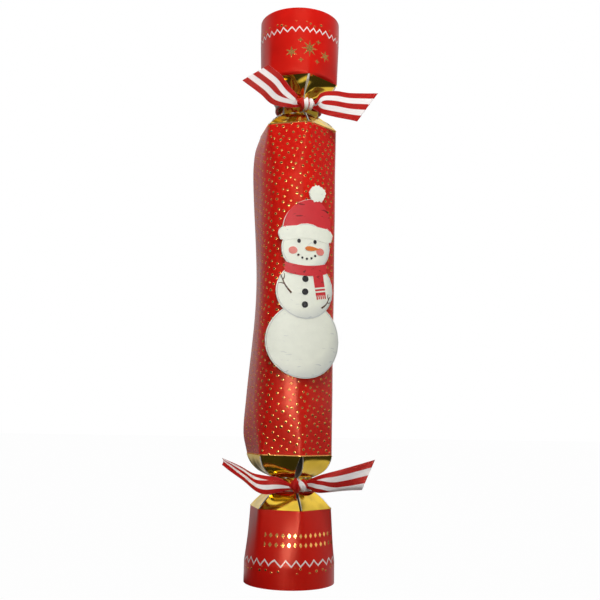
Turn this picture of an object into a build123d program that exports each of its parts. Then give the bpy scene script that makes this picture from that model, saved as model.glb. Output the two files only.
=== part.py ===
"""Christmas cracker: a six-sided folded card tube, tied at two necks with striped ribbon.

The axis of the cracker is +Z and it stands on the rim of its lower crown. The origin is the centre
of that rim. The front is -Y, where a corner of the card tube carries the raised figure. Azimuths
are in degrees from the front, positive towards +X. All lengths are in millimetres.
"""

import math
import os

from build123d import *

# Card tube
panel_count = 6
card = 0.5
corner_reach = 25.0
barrel_corner_round = 5.0
crown_height = 42.0
neck_height = 30.0
barrel_length = 198.0
fold_gap = 0.3
glue_gap = 0.1

# Crown mouths, pressed a little out of true
lower_rim_radius = 26.2
upper_rim_radius = 24.9
rim_band = 12.0

# Necks
waist_flat = 11.5
waist_band = 7.0
lower_waist_rise = 13.5
upper_waist_drop = 16.5
slot_gap = 0.35
flap_bow = 2.2
pleat_bow = 1.2

# Slack in the card at one back corner, where the barrel swells near both ends
swell_corner = 4
lower_end_swell = 1.5
lower_swell = 4.2
lower_swell_height = 18.0
upper_end_swell = -1.2
upper_swell = 4.0
upper_swell_depth = 27.0

# Glued seam inside one panel
seam_panel = 1
seam_width = 11.0
seam_offset = 3.5
seam_inset = 6.0

# Raised figure on the front: a snowman in a bobble hat, cut from card and gently bent
figure_card = 0.7
figure_bend = 40.0
figure_rise = 43.5
base_ball = 22.0
middle_ball = 17.0
middle_step = 29.0
head_ball = 14.5
head_step = 25.0
brim_width = 33.0
brim_height = 8.0
brim_lift = 8.5
hat_width = 28.0
hat_height = 21.0
bobble = 5.0
bobble_lift = 3.5
bobble_shift = 6.0
pad_thickness = 1.5
pad_width = 14.0
pad_height = 12.0

# Ribbons
wrap_thickness = 1.4
wrap_height = 6.0
wrap_clearance = 0.15
ribbon_thickness = 0.6
knot_width = 11.0
knot_depth = 4.5
knot_height = 7.5
knot_round = 2.0

# Snap: two card strips that rub past each other
snap_panel = 2
snap_inset = 3.5
snap_width = 9.0
snap_card = 0.5
snap_gap = 0.3
snap_overlap = 60.0
snap_bend_rise = 4.0
snap_tab_start = 5.0
snap_tab_end = 17.0
charge_length = 12.0
charge_width = 6.0
charge_thickness = 0.15
sleeve_length = 40.0
sleeve_wall = 0.25
sleeve_clearance = 0.3

# Gift: two small bottles, one above the other, that fill the space in front of the snap
gift_clearance = 0.3
gift_head_room = 14.0
bottle_seat = 0.5
bottle_wall = 1.0
bottle_shoulder = 4.0
bottle_foot_round = 1.5
neck_radius = 8.0
neck_length = 12.0
cap_wall = 2.9
cap_height = 18.0
cap_fit = 0.08
cap_gap = 0.3
cap_top = 2.0
gel_gap = 0.1
gel_air = 6.0

# Rolled paper crown that fills the space behind the snap, with the motto rolled up inside it
crown_roll_wall = 2.6
crown_roll_length = 75.0
motto_roll_wall = 0.4
motto_roll_length = 60.0
roll_gap = 0.2

# Worked out from the sizes above
up = Vector(0, 0, 1)
half_turn = math.pi / panel_count
flat_share = math.cos(half_turn)
panel_step = 360 / panel_count
corner_azimuths = [panel_step * i for i in range(panel_count)]
panel_azimuths = [panel_step * (i + 0.5) for i in range(panel_count)]
lower_crease = crown_height
barrel_bottom = lower_crease + neck_height
barrel_top = barrel_bottom + barrel_length
barrel_middle = (barrel_bottom + barrel_top) / 2
upper_crease = barrel_top + neck_height
cracker_top = upper_crease + crown_height
crease_flat = corner_reach * flat_share
inner_flat = crease_flat - card
corner_front = corner_reach - barrel_corner_round * (1 / flat_share - 1)
lower_waist = lower_crease + lower_waist_rise
upper_waist = upper_crease - upper_waist_drop
snap_azimuth = panel_azimuths[snap_panel]
lower_strip_offset = waist_flat - snap_inset
upper_strip_offset = lower_strip_offset + snap_card + snap_gap
sleeve_front = lower_strip_offset - glue_gap
sleeve_back = upper_strip_offset + snap_card + sleeve_clearance
bottle_radius = (inner_flat + sleeve_front - sleeve_wall) / 2 - gift_clearance
bottle_offset = sleeve_front - sleeve_wall - gift_clearance - bottle_radius
bottle_pitch = (barrel_length - bottle_seat - gift_head_room) / 2
bottle_height = bottle_pitch - cap_height - 2 * cap_gap
roll_radius = (inner_flat - sleeve_back - sleeve_wall) / 2 - roll_gap
roll_offset = inner_flat - roll_gap - roll_radius
written = []


def outward(azimuth):
    """Unit vector from the axis towards an azimuth."""
    angle = math.radians(azimuth)
    return Vector(math.sin(angle), -math.cos(angle), 0)


def side_plane(azimuth):
    """Plane through the axis: local x is the distance from the axis, local y is the height."""
    return Plane(origin=(0, 0, 0), x_dir=outward(azimuth), z_dir=outward(azimuth).cross(up))


def face_plane(azimuth, distance=0.0):
    """Plane that faces an azimuth: local x runs across the panel, local y is the height."""
    return Plane(outward(azimuth) * distance, x_dir=up.cross(outward(azimuth)), z_dir=outward(azimuth))


def level_plane(height, azimuth=0.0, distance=0.0):
    """Level plane whose origin lies at a distance from the axis."""
    return Plane(outward(azimuth) * distance + up * height)


def save(part, name):
    """Labels a finished piece and writes its file."""
    part.label = name
    export_step(part, f"parts/{name}.step")
    written.append(name)


def tube_corners(reach, swell=0.0):
    """Corner points of the card tube, with the slack corner moved out by the swell."""
    reaches = [reach + (swell if i == swell_corner else 0) for i in range(panel_count)]
    corners = [outward(azimuth) * r for azimuth, r in zip(corner_azimuths, reaches)]
    return [(corner.X, corner.Y) for corner in corners]


def tube_section(height, swell, inset):
    """Rounded section of the barrel, drawn in by an inset."""
    with BuildSketch(Plane.XY.offset(height)) as section:
        with BuildLine():
            Polyline(*tube_corners(corner_reach, swell), close=True)
        make_face()
        fillet(section.vertices(), barrel_corner_round)
        if inset:
            offset(amount=-inset, mode=Mode.REPLACE)
    return section.sketch


def barrel_sections(inset):
    """Sections of the barrel from its lower crease to its upper one."""
    heights_and_swells = [
        (barrel_bottom, lower_end_swell),
        (barrel_bottom + lower_swell_height, lower_swell),
        (barrel_middle, 0.0),
        (barrel_top - upper_swell_depth, upper_swell),
        (barrel_top, upper_end_swell),
    ]
    return [tube_section(height, swell, inset) for height, swell in heights_and_swells]


def make_barrel():
    """Middle of the card tube, open at both ends."""
    with BuildPart() as barrel:
        loft(sections=barrel_sections(0))
        loft(sections=barrel_sections(card), mode=Mode.SUBTRACT)
    save(barrel.part, "barrel")


def make_glue_seam():
    """Overlap of the card sheet, stuck to the inside of one panel."""
    length = barrel_length - 2 * seam_inset
    with BuildPart() as seam:
        with BuildSketch(face_plane(panel_azimuths[seam_panel], inner_flat - glue_gap)):
            with Locations((seam_offset, barrel_middle)):
                Rectangle(seam_width, length)
        extrude(amount=-card)
    save(seam.part, "glue_seam")


def crown_sections(crease, band_edge, rim_radius, inset):
    """Six-sided section at the crease and round section at the edge of the rim's band."""
    with BuildSketch(Plane.XY.offset(crease)) as crease_section:
        with BuildLine():
            Polyline(*tube_corners(corner_reach - inset / flat_share), close=True)
        make_face()
    with BuildSketch(Plane.XY.offset(band_edge)) as round_section:
        with BuildLine():
            for azimuth in corner_azimuths:
                CenterArc((0, 0), rim_radius - inset, azimuth - 90, panel_step)
        make_face()
    return [crease_section.sketch, round_section.sketch]


def make_crown(name, crease, rim, rim_radius):
    """Open card end: flat panels at the crease that turn into a round band at the rim."""
    band_edge = rim + math.copysign(rim_band, crease - rim)
    with BuildPart() as crown:
        loft(sections=crown_sections(crease, band_edge, rim_radius, 0), ruled=True)
        with BuildSketch(Plane.XY.offset(band_edge)):
            Circle(rim_radius)
        extrude(amount=rim - band_edge)
        loft(sections=crown_sections(crease, band_edge, rim_radius, card), ruled=True, mode=Mode.SUBTRACT)
        with BuildSketch(Plane.XY.offset(band_edge)):
            Circle(rim_radius - card)
        extrude(amount=rim - band_edge, mode=Mode.SUBTRACT)
    save(crown.part, name)


def crown_wall(height, crease, rim, rim_radius):
    """Distance from the axis to the inside of a crown's panel, along its middle."""
    band_edge = rim + math.copysign(rim_band, crease - rim)
    share = (height - crease) / (band_edge - crease)
    return crease_flat + (rim_radius - crease_flat) * share - card


def level_thickness(start, end):
    """Thickness of a sloping card panel, measured level."""
    return card * math.dist(start, end) / abs(end[1] - start[1])


def panel_half_width(flat, level):
    """Half the width of a neck panel that leaves a slot beside its neighbours."""
    return (flat - level) * math.tan(half_turn) - slot_gap


def make_panel(name, azimuth, root, waist_edge, bow, tip_height):
    """One neck panel: bowed outwards from its crease at the root to the waist, then on to its tip."""
    level = level_thickness(root, waist_edge)
    sagitta = bow if waist_edge[1] < root[1] else -bow
    tip = (waist_edge[0], tip_height)
    has_band = abs(tip_height - waist_edge[1]) > 0
    wide, narrow = panel_half_width(root[0], level), panel_half_width(waist_edge[0], level)
    edge = [(wide, root[1]), (narrow, waist_edge[1])]
    if has_band:
        edge.append((narrow, tip_height))
    with BuildPart() as panel:
        with BuildSketch(side_plane(azimuth)):
            with BuildLine():
                for shift in (0, -level):
                    bend = (waist_edge[0] + shift, waist_edge[1])
                    SagittaArc((root[0] + shift, root[1]), bend, sagitta)
                    if has_band:
                        Line(bend, (tip[0] + shift, tip[1]))
                Line(root, (root[0] - level, root[1]))
                Line(tip, (tip[0] - level, tip[1]))
            make_face()
        extrude(amount=corner_reach, both=True)
        with BuildSketch(face_plane(azimuth)):
            with BuildLine():
                Polyline(*edge, *[(-w, z) for w, z in reversed(edge)], close=True)
            make_face()
        extrude(amount=2 * corner_reach, mode=Mode.INTERSECT)
    save(panel.part, name)


def make_neck(name, crown_crease, barrel_crease, waist):
    """Pleats on the crown's side, hinged flaps on the barrel's side, and the tear between them."""
    side = math.copysign(1, barrel_crease - crown_crease)
    near, far = waist - side * waist_band / 2, waist + side * waist_band / 2
    flap_root, flap_tip = barrel_crease - side * fold_gap, far + side * fold_gap
    for i, azimuth in enumerate(panel_azimuths, start=1):
        make_panel(f"{name}_pleat_{i}", azimuth, (crease_flat, crown_crease), (waist_flat, near), pleat_bow,
                   far)
        make_panel(f"{name}_flap_{i}", azimuth, (crease_flat, flap_root), (waist_flat, flap_tip), flap_bow,
                   flap_tip)


def wrap_radius(waist, crown_crease):
    """Inside radius of a ribbon's wrap, which goes round the corners of the pleats."""
    near = waist - math.copysign(waist_band / 2, waist - crown_crease)
    level = level_thickness((crease_flat, crown_crease), (waist_flat, near))
    return math.hypot(waist_flat, panel_half_width(waist_flat, level)) + wrap_clearance


def tail_section(centre, width, along, cup):
    """Section of a ribbon tail: a thin band as long as the width, cupped by a sagitta."""
    face = along.cross(width).normalized()
    half, thick = width.length / 2, ribbon_thickness / 2
    with BuildSketch(Plane(centre, x_dir=width, z_dir=width.cross(face))) as section:
        with BuildLine():
            SagittaArc((-half, thick), (half, thick), cup)
            Line((half, thick), (half, -thick))
            SagittaArc((half, -thick), (-half, -thick), -cup)
            Line((-half, -thick), (-half, thick))
        make_face()
    return section.sketch


def make_tail(name, knot, side, stations):
    """Ribbon tail from the side of its knot, through stations of place, width and cup.

    Each place is measured from the middle of the knot's side, outwards, forwards and up.
    """
    seat = knot + Vector(side * (knot_width / 2 + glue_gap), 0, 0)
    places = [seat + Vector(side * out, -forward, rise) for (out, forward, rise), _, _ in stations]
    widths = [Vector(side * across, -forward, rise) for _, (across, forward, rise), _ in stations]
    sections = []
    before = [seat - Vector(side * knot_width, 0, 0)] + places
    after = [seat + Vector(side * knot_width, 0, 0)] + places[2:] + places[-1:]
    for (_, _, cup), place, width, start, end in zip(stations, places, widths, before, after):
        sections.append(tail_section(place, width, (end - start) * side, cup))
    with BuildPart() as tail:
        loft(sections=sections)
    save(tail.part, name)


def make_ribbon(name, waist, crown_crease, left_tail, right_tail):
    """Ribbon tied round a waist: the wrap, the knot at the front and two tails."""
    inside = wrap_radius(waist, crown_crease)
    outside = inside + wrap_thickness
    with BuildPart() as wrap:
        with BuildSketch(level_plane(waist - wrap_height / 2)):
            Circle(outside)
            Circle(inside, mode=Mode.SUBTRACT)
        extrude(amount=wrap_height)
    save(wrap.part, f"{name}_ribbon_wrap")
    knot_middle = Vector(0, -outside - knot_depth / 2, waist)
    with BuildPart() as knot:
        with Locations(knot_middle):
            Box(knot_width, knot_depth + 2 * wrap_thickness, knot_height)
        fillet(knot.edges().filter_by(Axis.Y), knot_round)
        fillet(knot.faces().sort_by(Axis.Y)[0].edges(), knot_round / 2)
        with BuildSketch(level_plane(waist - knot_height)):
            Circle(outside + glue_gap)
        extrude(amount=2 * knot_height, mode=Mode.SUBTRACT)
    save(knot.part, f"{name}_ribbon_knot")
    make_tail(f"{name}_ribbon_tail_left", knot_middle, -1, left_tail)
    make_tail(f"{name}_ribbon_tail_right", knot_middle, 1, right_tail)


def make_figure():
    """Raised snowman, bent round the front corner, and the foam pads that hold it off the card."""
    bend_centre = figure_bend - figure_card - pad_thickness - corner_front
    base_height = barrel_bottom + figure_rise + base_ball
    middle_height = base_height + middle_step
    head_height = middle_height + head_step
    brim = head_height + brim_lift
    hat_top = brim + hat_height
    balls = [(base_ball, base_height), (middle_ball, middle_height), (head_ball, head_height)]
    left_foot, right_foot, peak = (-hat_width / 2, brim), (hat_width / 2, brim), (bobble_shift, hat_top)
    with BuildPart() as figure:
        with BuildSketch(Plane.XZ):
            for radius, height in balls:
                with Locations((0, height)):
                    Circle(radius)
            with Locations((0, brim)):
                SlotOverall(brim_width, brim_height)
            with BuildLine():
                SagittaArc(left_foot, peak, hat_height / 3)
                SagittaArc(peak, right_foot, hat_height / 5)
                Line(right_foot, left_foot)
            make_face()
            with Locations((bobble_shift, hat_top + bobble_lift)):
                Circle(bobble)
        extrude(amount=2 * figure_bend)
        with BuildSketch(Plane.XY):
            with Locations((0, bend_centre)):
                Circle(figure_bend)
                Circle(figure_bend - figure_card, mode=Mode.SUBTRACT)
        extrude(amount=cracker_top, mode=Mode.INTERSECT)
    save(figure.part, "snowman_figure")
    with BuildPart() as pads:
        for height in (base_height, head_height):
            with BuildSketch(level_plane(height - pad_height / 2)):
                with Locations((0, -corner_reach)):
                    Rectangle(pad_width, corner_reach)
            extrude(amount=pad_height)
        with BuildSketch(Plane.XY):
            with Locations((0, bend_centre)):
                Circle(figure_bend - figure_card - glue_gap)
        extrude(amount=cracker_top, mode=Mode.INTERSECT)
        with BuildSketch(Plane.XY) as tube:
            with BuildLine():
                Polyline(*tube_corners(corner_reach), close=True)
            make_face()
            fillet(tube.vertices(), barrel_corner_round)
            offset(amount=glue_gap, mode=Mode.REPLACE)
        extrude(amount=cracker_top, mode=Mode.SUBTRACT)
    save(pads.part, "figure_foam_pads")


def make_strip(name, strip_offset, inner_end, waist, crease, rim, rim_radius):
    """Snap strip: straight through the waist, then bent out and stuck to the inside of a crown."""
    side = math.copysign(1, rim - crease)
    bend = waist + side * snap_bend_rise
    tab = [crease + side * snap_tab_start, crease + side * snap_tab_end]
    walls = [crown_wall(height, crease, rim, rim_radius) - fold_gap - snap_card for height in tab]
    front = [(strip_offset, inner_end), (strip_offset, bend), (walls[0], tab[0]), (walls[1], tab[1])]
    back = [(r + snap_card, z) for r, z in front]
    with BuildPart() as strip:
        with BuildSketch(side_plane(snap_azimuth)):
            with BuildLine():
                Polyline(*front, *reversed(back), close=True)
            make_face()
        extrude(amount=snap_width / 2, both=True)
    save(strip.part, name)


def make_snap():
    """Two snap strips that overlap in the middle, with a friction charge and a paper sleeve."""
    make_strip("snap_strip_upper", upper_strip_offset, barrel_middle - snap_overlap / 2,
               upper_waist, upper_crease, cracker_top, upper_rim_radius)
    make_strip("snap_strip_lower", lower_strip_offset, barrel_middle + snap_overlap / 2,
               lower_waist, lower_crease, 0.0, lower_rim_radius)
    with BuildPart() as charge:
        with BuildSketch(face_plane(snap_azimuth, lower_strip_offset + snap_card)):
            with Locations((0, barrel_middle)):
                Rectangle(charge_width, charge_length)
        extrude(amount=charge_thickness)
    save(charge.part, "snap_charge")
    inner_width = snap_width + 2 * sleeve_clearance
    inner_depth = sleeve_back - sleeve_front
    with BuildPart() as sleeve:
        with BuildSketch(face_plane(snap_azimuth, sleeve_front - sleeve_wall)):
            with Locations((0, barrel_middle)):
                Rectangle(inner_width + 2 * sleeve_wall, sleeve_length)
        extrude(amount=inner_depth + 2 * sleeve_wall)
        with BuildSketch(face_plane(snap_azimuth, sleeve_front)):
            with Locations((0, barrel_middle)):
                Rectangle(inner_width, 2 * sleeve_length)
        extrude(amount=inner_depth, mode=Mode.SUBTRACT)
    save(sleeve.part, "snap_sleeve")


def make_bottle(name, foot):
    """Small bottle with its gel and its screw cap, standing at a height."""
    shoulder_top = foot + bottle_height
    shoulder_foot = shoulder_top - bottle_shoulder
    bore = neck_radius - bottle_wall
    inner_radius = bottle_radius - bottle_wall
    with BuildPart() as bottle:
        with BuildSketch(level_plane(foot, snap_azimuth, bottle_offset)):
            Circle(bottle_radius)
        extrude(amount=bottle_height)
        fillet(bottle.faces().sort_by(Axis.Z)[-1].edges(), bottle_shoulder)
        fillet(bottle.faces().sort_by(Axis.Z)[0].edges(), bottle_foot_round)
        with BuildSketch(level_plane(shoulder_top, snap_azimuth, bottle_offset)):
            Circle(neck_radius)
        extrude(amount=neck_length)
        with BuildSketch(level_plane(foot + bottle_wall, snap_azimuth, bottle_offset)):
            Circle(inner_radius)
        extrude(amount=shoulder_foot - foot - bottle_wall, mode=Mode.SUBTRACT)
        with BuildSketch(level_plane(shoulder_foot, snap_azimuth, bottle_offset)):
            Circle(bore)
        extrude(amount=2 * bottle_shoulder + neck_length, mode=Mode.SUBTRACT)
    save(bottle.part, f"{name}_bottle")
    with BuildPart() as gel:
        with BuildSketch(level_plane(foot + bottle_wall + gel_gap, snap_azimuth, bottle_offset)):
            Circle(inner_radius - gel_gap)
        extrude(amount=shoulder_foot - foot - bottle_wall - gel_gap - gel_air)
    save(gel.part, f"{name}_gel")
    with BuildPart() as cap:
        with BuildSketch(level_plane(shoulder_top + cap_gap, snap_azimuth, bottle_offset)):
            Circle(neck_radius + cap_fit + cap_wall)
        extrude(amount=cap_height)
        fillet(cap.faces().sort_by(Axis.Z)[-1].edges(), cap_top / 2)
        with BuildSketch(level_plane(shoulder_top, snap_azimuth, bottle_offset)):
            Circle(neck_radius + cap_fit)
        extrude(amount=cap_gap + cap_height - cap_top, mode=Mode.SUBTRACT)
    save(cap.part, f"{name}_cap")


def make_roll(name, radius, wall, length, foot):
    """Rolled paper, as a tube that stands behind the snap."""
    with BuildPart() as roll:
        with BuildSketch(level_plane(foot, snap_azimuth, roll_offset)):
            Circle(radius)
            Circle(radius - wall, mode=Mode.SUBTRACT)
        extrude(amount=length)
    save(roll.part, name)


def make_gifts():
    """Two bottles in front of the snap, and the paper crown and motto behind it."""
    foot = barrel_bottom + bottle_seat
    make_bottle("lower", foot)
    make_bottle("upper", foot + bottle_pitch)
    make_roll("paper_crown_roll", roll_radius, crown_roll_wall, crown_roll_length, foot)
    motto_radius = roll_radius - crown_roll_wall - roll_gap
    make_roll("motto_slip", motto_radius, motto_roll_wall, motto_roll_length, foot)


# Stations of the ribbon tails: (outwards, forwards, up), (width vector the same way), cup
upper_right_tail = [
    ((0.0, 0.0, 0.0), (0.0, 0.0, 5.5), 0.5),
    ((3.2, 4.2, -1.0), (0.0, 0.0, 10.3), 1.0),
    ((10.9, 8.3, -2.5), (0.0, 0.0, 14.0), 0.9),
    ((19.1, 12.5, -3.9), (0.0, 0.0, 16.4), 0.6),
    ((29.0, 16.1, -4.3), (12.0, 3.2, 18.0), 0.4),
]
upper_left_tail = [
    ((0.0, 0.0, 0.0), (0.0, 0.0, 5.5), 0.5),
    ((2.6, 1.2, 0.8), (-5.0, 1.0, 8.0), 1.0),
    ((10.6, 1.8, 4.7), (-9.5, 3.0, 12.0), 0.9),
    ((17.0, 3.2, 9.6), (-11.5, 4.0, 12.0), 0.6),
    ((26.5, 2.8, 14.7), (-15.0, 4.3, 10.0), 0.4),
]
lower_right_tail = [
    ((0.0, 0.0, 0.6), (0.0, 0.0, 4.7), 0.5),
    ((5.1, 6.2, 1.2), (0.6, 0.0, 9.6), 0.9),
    ((18.3, 12.3, 4.0), (-1.0, 2.5, 12.8), 0.8),
    ((30.9, 16.6, 7.1), (7.0, 1.8, 16.8), 0.4),
]
lower_left_tail = [
    ((0.0, 0.0, -0.6), (0.0, 0.0, 4.0), 0.5),
    ((5.6, 0.5, 0.3), (0.3, 1.0, 8.0), 0.9),
    ((13.5, 0.0, 0.3), (0.8, 3.5, 11.0), 0.9),
    ((19.6, -0.6, 1.6), (1.6, 6.5, 11.5), 0.8),
    ((27.4, -0.5, 6.7), (2.8, 10.6, 9.5), 0.6),
    ((37.5, -3.2, 13.1), (3.6, 13.5, 4.0), 0.4),
]


def main():
    os.makedirs("parts", exist_ok=True)
    make_barrel()
    make_glue_seam()
    make_crown("lower_crown", lower_crease, 0.0, lower_rim_radius)
    make_crown("upper_crown", upper_crease, cracker_top, upper_rim_radius)
    make_neck("lower", lower_crease, barrel_bottom, lower_waist)
    make_neck("upper", upper_crease, barrel_top, upper_waist)
    make_ribbon("lower", lower_waist, lower_crease, lower_left_tail, lower_right_tail)
    make_ribbon("upper", upper_waist, upper_crease, upper_left_tail, upper_right_tail)
    make_figure()
    make_snap()
    make_gifts()
    print(len(written), "pieces written")


if __name__ == "__main__":
    main()
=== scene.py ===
"""Christmas cracker: printed card, gold necks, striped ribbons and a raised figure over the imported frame.

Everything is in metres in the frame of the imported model. The axis of the cracker is +Z, the front
is -Y, and azimuths are in degrees from the front, positive towards +X.
"""

import math

import bmesh
import bpy
from bpy.props import FloatProperty, FloatVectorProperty, IntProperty, PointerProperty
from mathutils import Matrix, Vector, noise


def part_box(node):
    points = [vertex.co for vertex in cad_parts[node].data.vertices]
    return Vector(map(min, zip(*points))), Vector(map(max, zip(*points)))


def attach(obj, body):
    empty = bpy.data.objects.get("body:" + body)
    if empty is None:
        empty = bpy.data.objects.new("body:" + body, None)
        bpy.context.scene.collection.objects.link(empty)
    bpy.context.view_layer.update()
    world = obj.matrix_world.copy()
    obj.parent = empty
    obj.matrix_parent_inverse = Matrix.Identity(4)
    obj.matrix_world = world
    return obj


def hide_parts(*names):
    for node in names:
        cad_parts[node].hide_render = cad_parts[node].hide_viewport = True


bl_info = {
    "name": "Christmas Cracker",
    "version": (1, 0, 0),
    "blender": (4, 5, 0),
    "location": "View3D > Sidebar > Cracker",
    "description": "Dresses a christmas cracker with printed card, gold necks, ribbons and a figure",
    "category": "Object",
}

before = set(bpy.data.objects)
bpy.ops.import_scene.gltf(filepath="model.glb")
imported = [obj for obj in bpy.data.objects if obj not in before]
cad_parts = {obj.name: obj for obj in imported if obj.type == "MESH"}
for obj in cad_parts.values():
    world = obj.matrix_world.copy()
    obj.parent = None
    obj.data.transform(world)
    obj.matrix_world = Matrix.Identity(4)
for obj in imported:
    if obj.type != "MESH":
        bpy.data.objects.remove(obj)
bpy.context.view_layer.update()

MM = 0.001
UP = Vector((0.0, 0.0, 1.0))
PANELS = 6
PANEL_TURN = 360.0 / PANELS
HALF_TURN = math.pi / PANELS
ENDS = ("lower", "upper")
FRONT = Vector((0.0, -1.0, 0.0))
WHITE = (1.0, 1.0, 1.0, 1.0)
SHARP_ANGLE = math.radians(35.0)

# How near to a fold's height a face still belongs to the fold
FOLD_REACH = 0.0003

# Turns a shape that was made flat so that it faces the front
FACING = Matrix.Rotation(math.pi / 2, 4, "X")

# Levels of the card tube
lower_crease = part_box("lower_crown")[1].z
barrel_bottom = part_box("barrel")[0].z
barrel_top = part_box("barrel")[1].z
upper_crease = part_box("upper_crown")[0].z
cracker_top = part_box("upper_crown")[1].z
waists = {end: sum(corner.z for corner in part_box(f"{end}_ribbon_wrap")) / 2 for end in ENDS}

# Slack corner of the barrel: heights and how far it stands out there
SLACK_AZIMUTH = 240.0
SLACK = [
    (0.072, 0.0032), (0.084, 0.0060), (0.105, 0.0050), (0.171, 0.0),
    (0.240, 0.0044), (0.259, 0.0037), (0.270, 0.0),
]

# Height over which the folds at a crease turn into the rounder tube
CREASE_REACH = 0.03

# Dents in the card: how close together they are on the barrel and on the crowns, and their depth
BARREL_DENTS = 28.0
CROWN_DENTS = 30.0
DENT_DEPTH = 0.0002

# How a panel's belly falls off to its corners: above 1 it does so sooner
PANEL_BELLY = 1.4

# How the panels of each crown turn round: below 1 they do so sooner
CROWN_ROUNDINGS = {"lower": 1.0, "upper": 0.3}

# How far the panels of each neck bulge, or are hollow, how strongly they crumple, and how deep their
# slanting buckles are
NECK_SHAPES = {
    ("lower", "pleat"): (0.0003, 0.2, 0.0),
    ("lower", "flap"): (0.0022, 0.3, 0.0),
    ("upper", "pleat"): (-0.0008, 0.6, -0.0010),
    ("upper", "flap"): (0.0004, 0.5, 0.0004),
}
PUCKER_DEPTH = 0.0012
GATHER_DEPTH = 0.0005

# Puckers and gathers of a neck panel: how close together they are across and up it, and a step of their seed
PUCKERS_ACROSS = 1.7
PUCKERS_UP = 1.3
PUCKER_SEED = 3.1
GATHERS_ACROSS = 5.0

# Buckles of a neck panel: how they turn across and up it, and where they are full and start to fade
BUCKLE_ACROSS = 2.4
BUCKLE_UP = 3.2
BUCKLE_FULL = 0.4
BUCKLE_FADE = 0.7

# Share of the crumple that is left under the ribbon
TIP_CRUMPLE = 0.35

# Seeds of the panels, so that no two crumple alike
PLEAT_SEED = 1.37
FLAP_SEED = 2.11
FLAP_SEED_START = 5.0

# Flaps whose left and right edges gape at the front slot
FLAP_GAPES = {("lower", 6): (0.0, 0.0019), ("lower", 1): (0.0008, 0.0)}
NO_GAPE = (0.0, 0.0)

# Ribbon tails in millimetres: (outwards, forwards, up) from the knot's side, width vector, cup
TAILS = {
    "upper_right": [
        ((0.0, 0.0, 0.0), (0.0, 0.0, 5.5), 0.5),
        ((3.2, 4.2, 0.0), (0.0, 0.0, 13.0), 1.0),
        ((10.9, 8.3, -1.2), (0.0, 0.0, 16.5), 0.9),
        ((19.1, 12.5, -3.4), (0.0, 0.0, 17.0), 0.6),
        ((29.0, 16.1, -4.3), (12.0, 3.2, 18.0), 0.4),
    ],
    "upper_left": [
        ((0.0, 0.0, 0.0), (0.0, 0.0, 5.5), 0.5),
        ((2.6, 1.2, 0.2), (-5.0, 1.0, 8.0), 1.0),
        ((10.6, 1.8, 3.2), (-9.5, 3.0, 12.0), 0.9),
        ((17.0, 3.2, 8.3), (-11.5, 4.0, 12.0), 0.6),
        ((26.5, 2.8, 14.7), (-15.0, 4.3, 10.0), 0.4),
    ],
    "lower_right": [
        ((0.0, 0.0, 0.6), (0.0, 0.0, 4.7), 0.5),
        ((5.1, 6.2, 1.2), (0.6, 0.0, 9.6), 0.9),
        ((18.3, 12.3, 4.0), (-1.0, 2.5, 12.8), 0.8),
        ((30.9, 16.6, 7.1), (7.0, 1.8, 16.8), 0.4),
    ],
    "lower_left": [
        ((0.0, 0.0, -0.6), (0.0, 0.0, 4.0), 0.5),
        ((5.6, 0.5, 0.3), (0.3, 0.0, 8.0), 0.9),
        ((13.5, 0.0, 0.3), (0.5, -4.0, 10.2), 0.9),
        ((19.6, -0.6, 1.8), (0.8, -7.5, 9.4), 0.8),
        ((27.4, -0.5, 6.9), (-0.4, -11.5, 6.6), 0.6),
        ((37.5, -3.2, 13.4), (-2.0, -14.2, 2.2), 0.4),
    ],
}

# Folds of each tail: place of its valley across it, how deep the knot grips it, where along it the valley
# starts and stops opening, how much of its lower edge curls under, and where the curl starts and is full
TAIL_FOLDS = {
    "upper_right": (0.0, 3.4, 4.0, 13.0, 0.0, 0.0, 1.0),
    "upper_left": (0.0, 1.3, 4.0, 20.0, 0.0, 0.0, 1.0),
    "lower_right": (0.4, 1.6, 7.0, 18.0, 0.75, 6.0, 22.0),
    "lower_left": (0.4, 1.2, 12.0, 25.0, 0.3, 24.0, 42.0),
}

# Place across the ribbon that shows at each place from left to right on a knot, its slant, and the place and
# the depth of its valley
KNOT_BANDS = {
    "upper": ([(0.0, 0.02), (0.36, 0.2), (0.55, 0.4), (0.72, 0.6), (1.0, 0.82)], 0.02, 0.28, 0.3),
    "lower": ([(0.0, 0.42), (0.6, 0.6), (0.86, 0.8), (1.0, 0.88)], 0.10, -0.1, 1.0),
}

# A knot: how far its middle stands in front of the wrap, how far its band goes round, its share of the width
# above and below, the number, sway and depth of its ripples, the depth of its turned edges and its valley,
# the lean of the valley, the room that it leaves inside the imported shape, and how far it is set in
KNOT_STAND = 0.00225
KNOT_SWEEP = math.radians(128.0)
KNOT_NARROW = 0.72
KNOT_RIPPLES = 9.0
KNOT_SWAY = 1.2
KNOT_RIPPLE = 0.0007
KNOT_EDGE = 0.0012
KNOT_VALLEY = 0.007
KNOT_LEAN = 0.12
KNOT_ROOM = 0.0003
KNOT_SINK = 0.0002

# A tail: where it starts inside its knot in millimetres, its share of the width there, how far along the
# grip holds and then fades in millimetres, how close together its ripples are across and along it, the steps
# of their seed between hands and ends, their depth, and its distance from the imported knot
TAIL_START = -3.0
TAIL_START_WIDTH = 0.8
GRIP_HOLDS = 5.0
GRIP_FADES = 6.0
RIPPLES_ACROSS = 0.9
RIPPLES_ALONG = 60.0
HAND_SEED = 4.0
END_SEED = 9.0
TAIL_RIPPLE = 0.0004
TAIL_CLEAR = 0.0001

# A fold across the ribbon in half widths: its size, how much of that it takes in, its greatest depth, and
# the radius of a curled edge
FOLD_SIZE = 0.24
FOLD_TAKEN = 0.9
FOLD_DEEPEST = 0.55
CURL_RADIUS = 0.3

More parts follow.
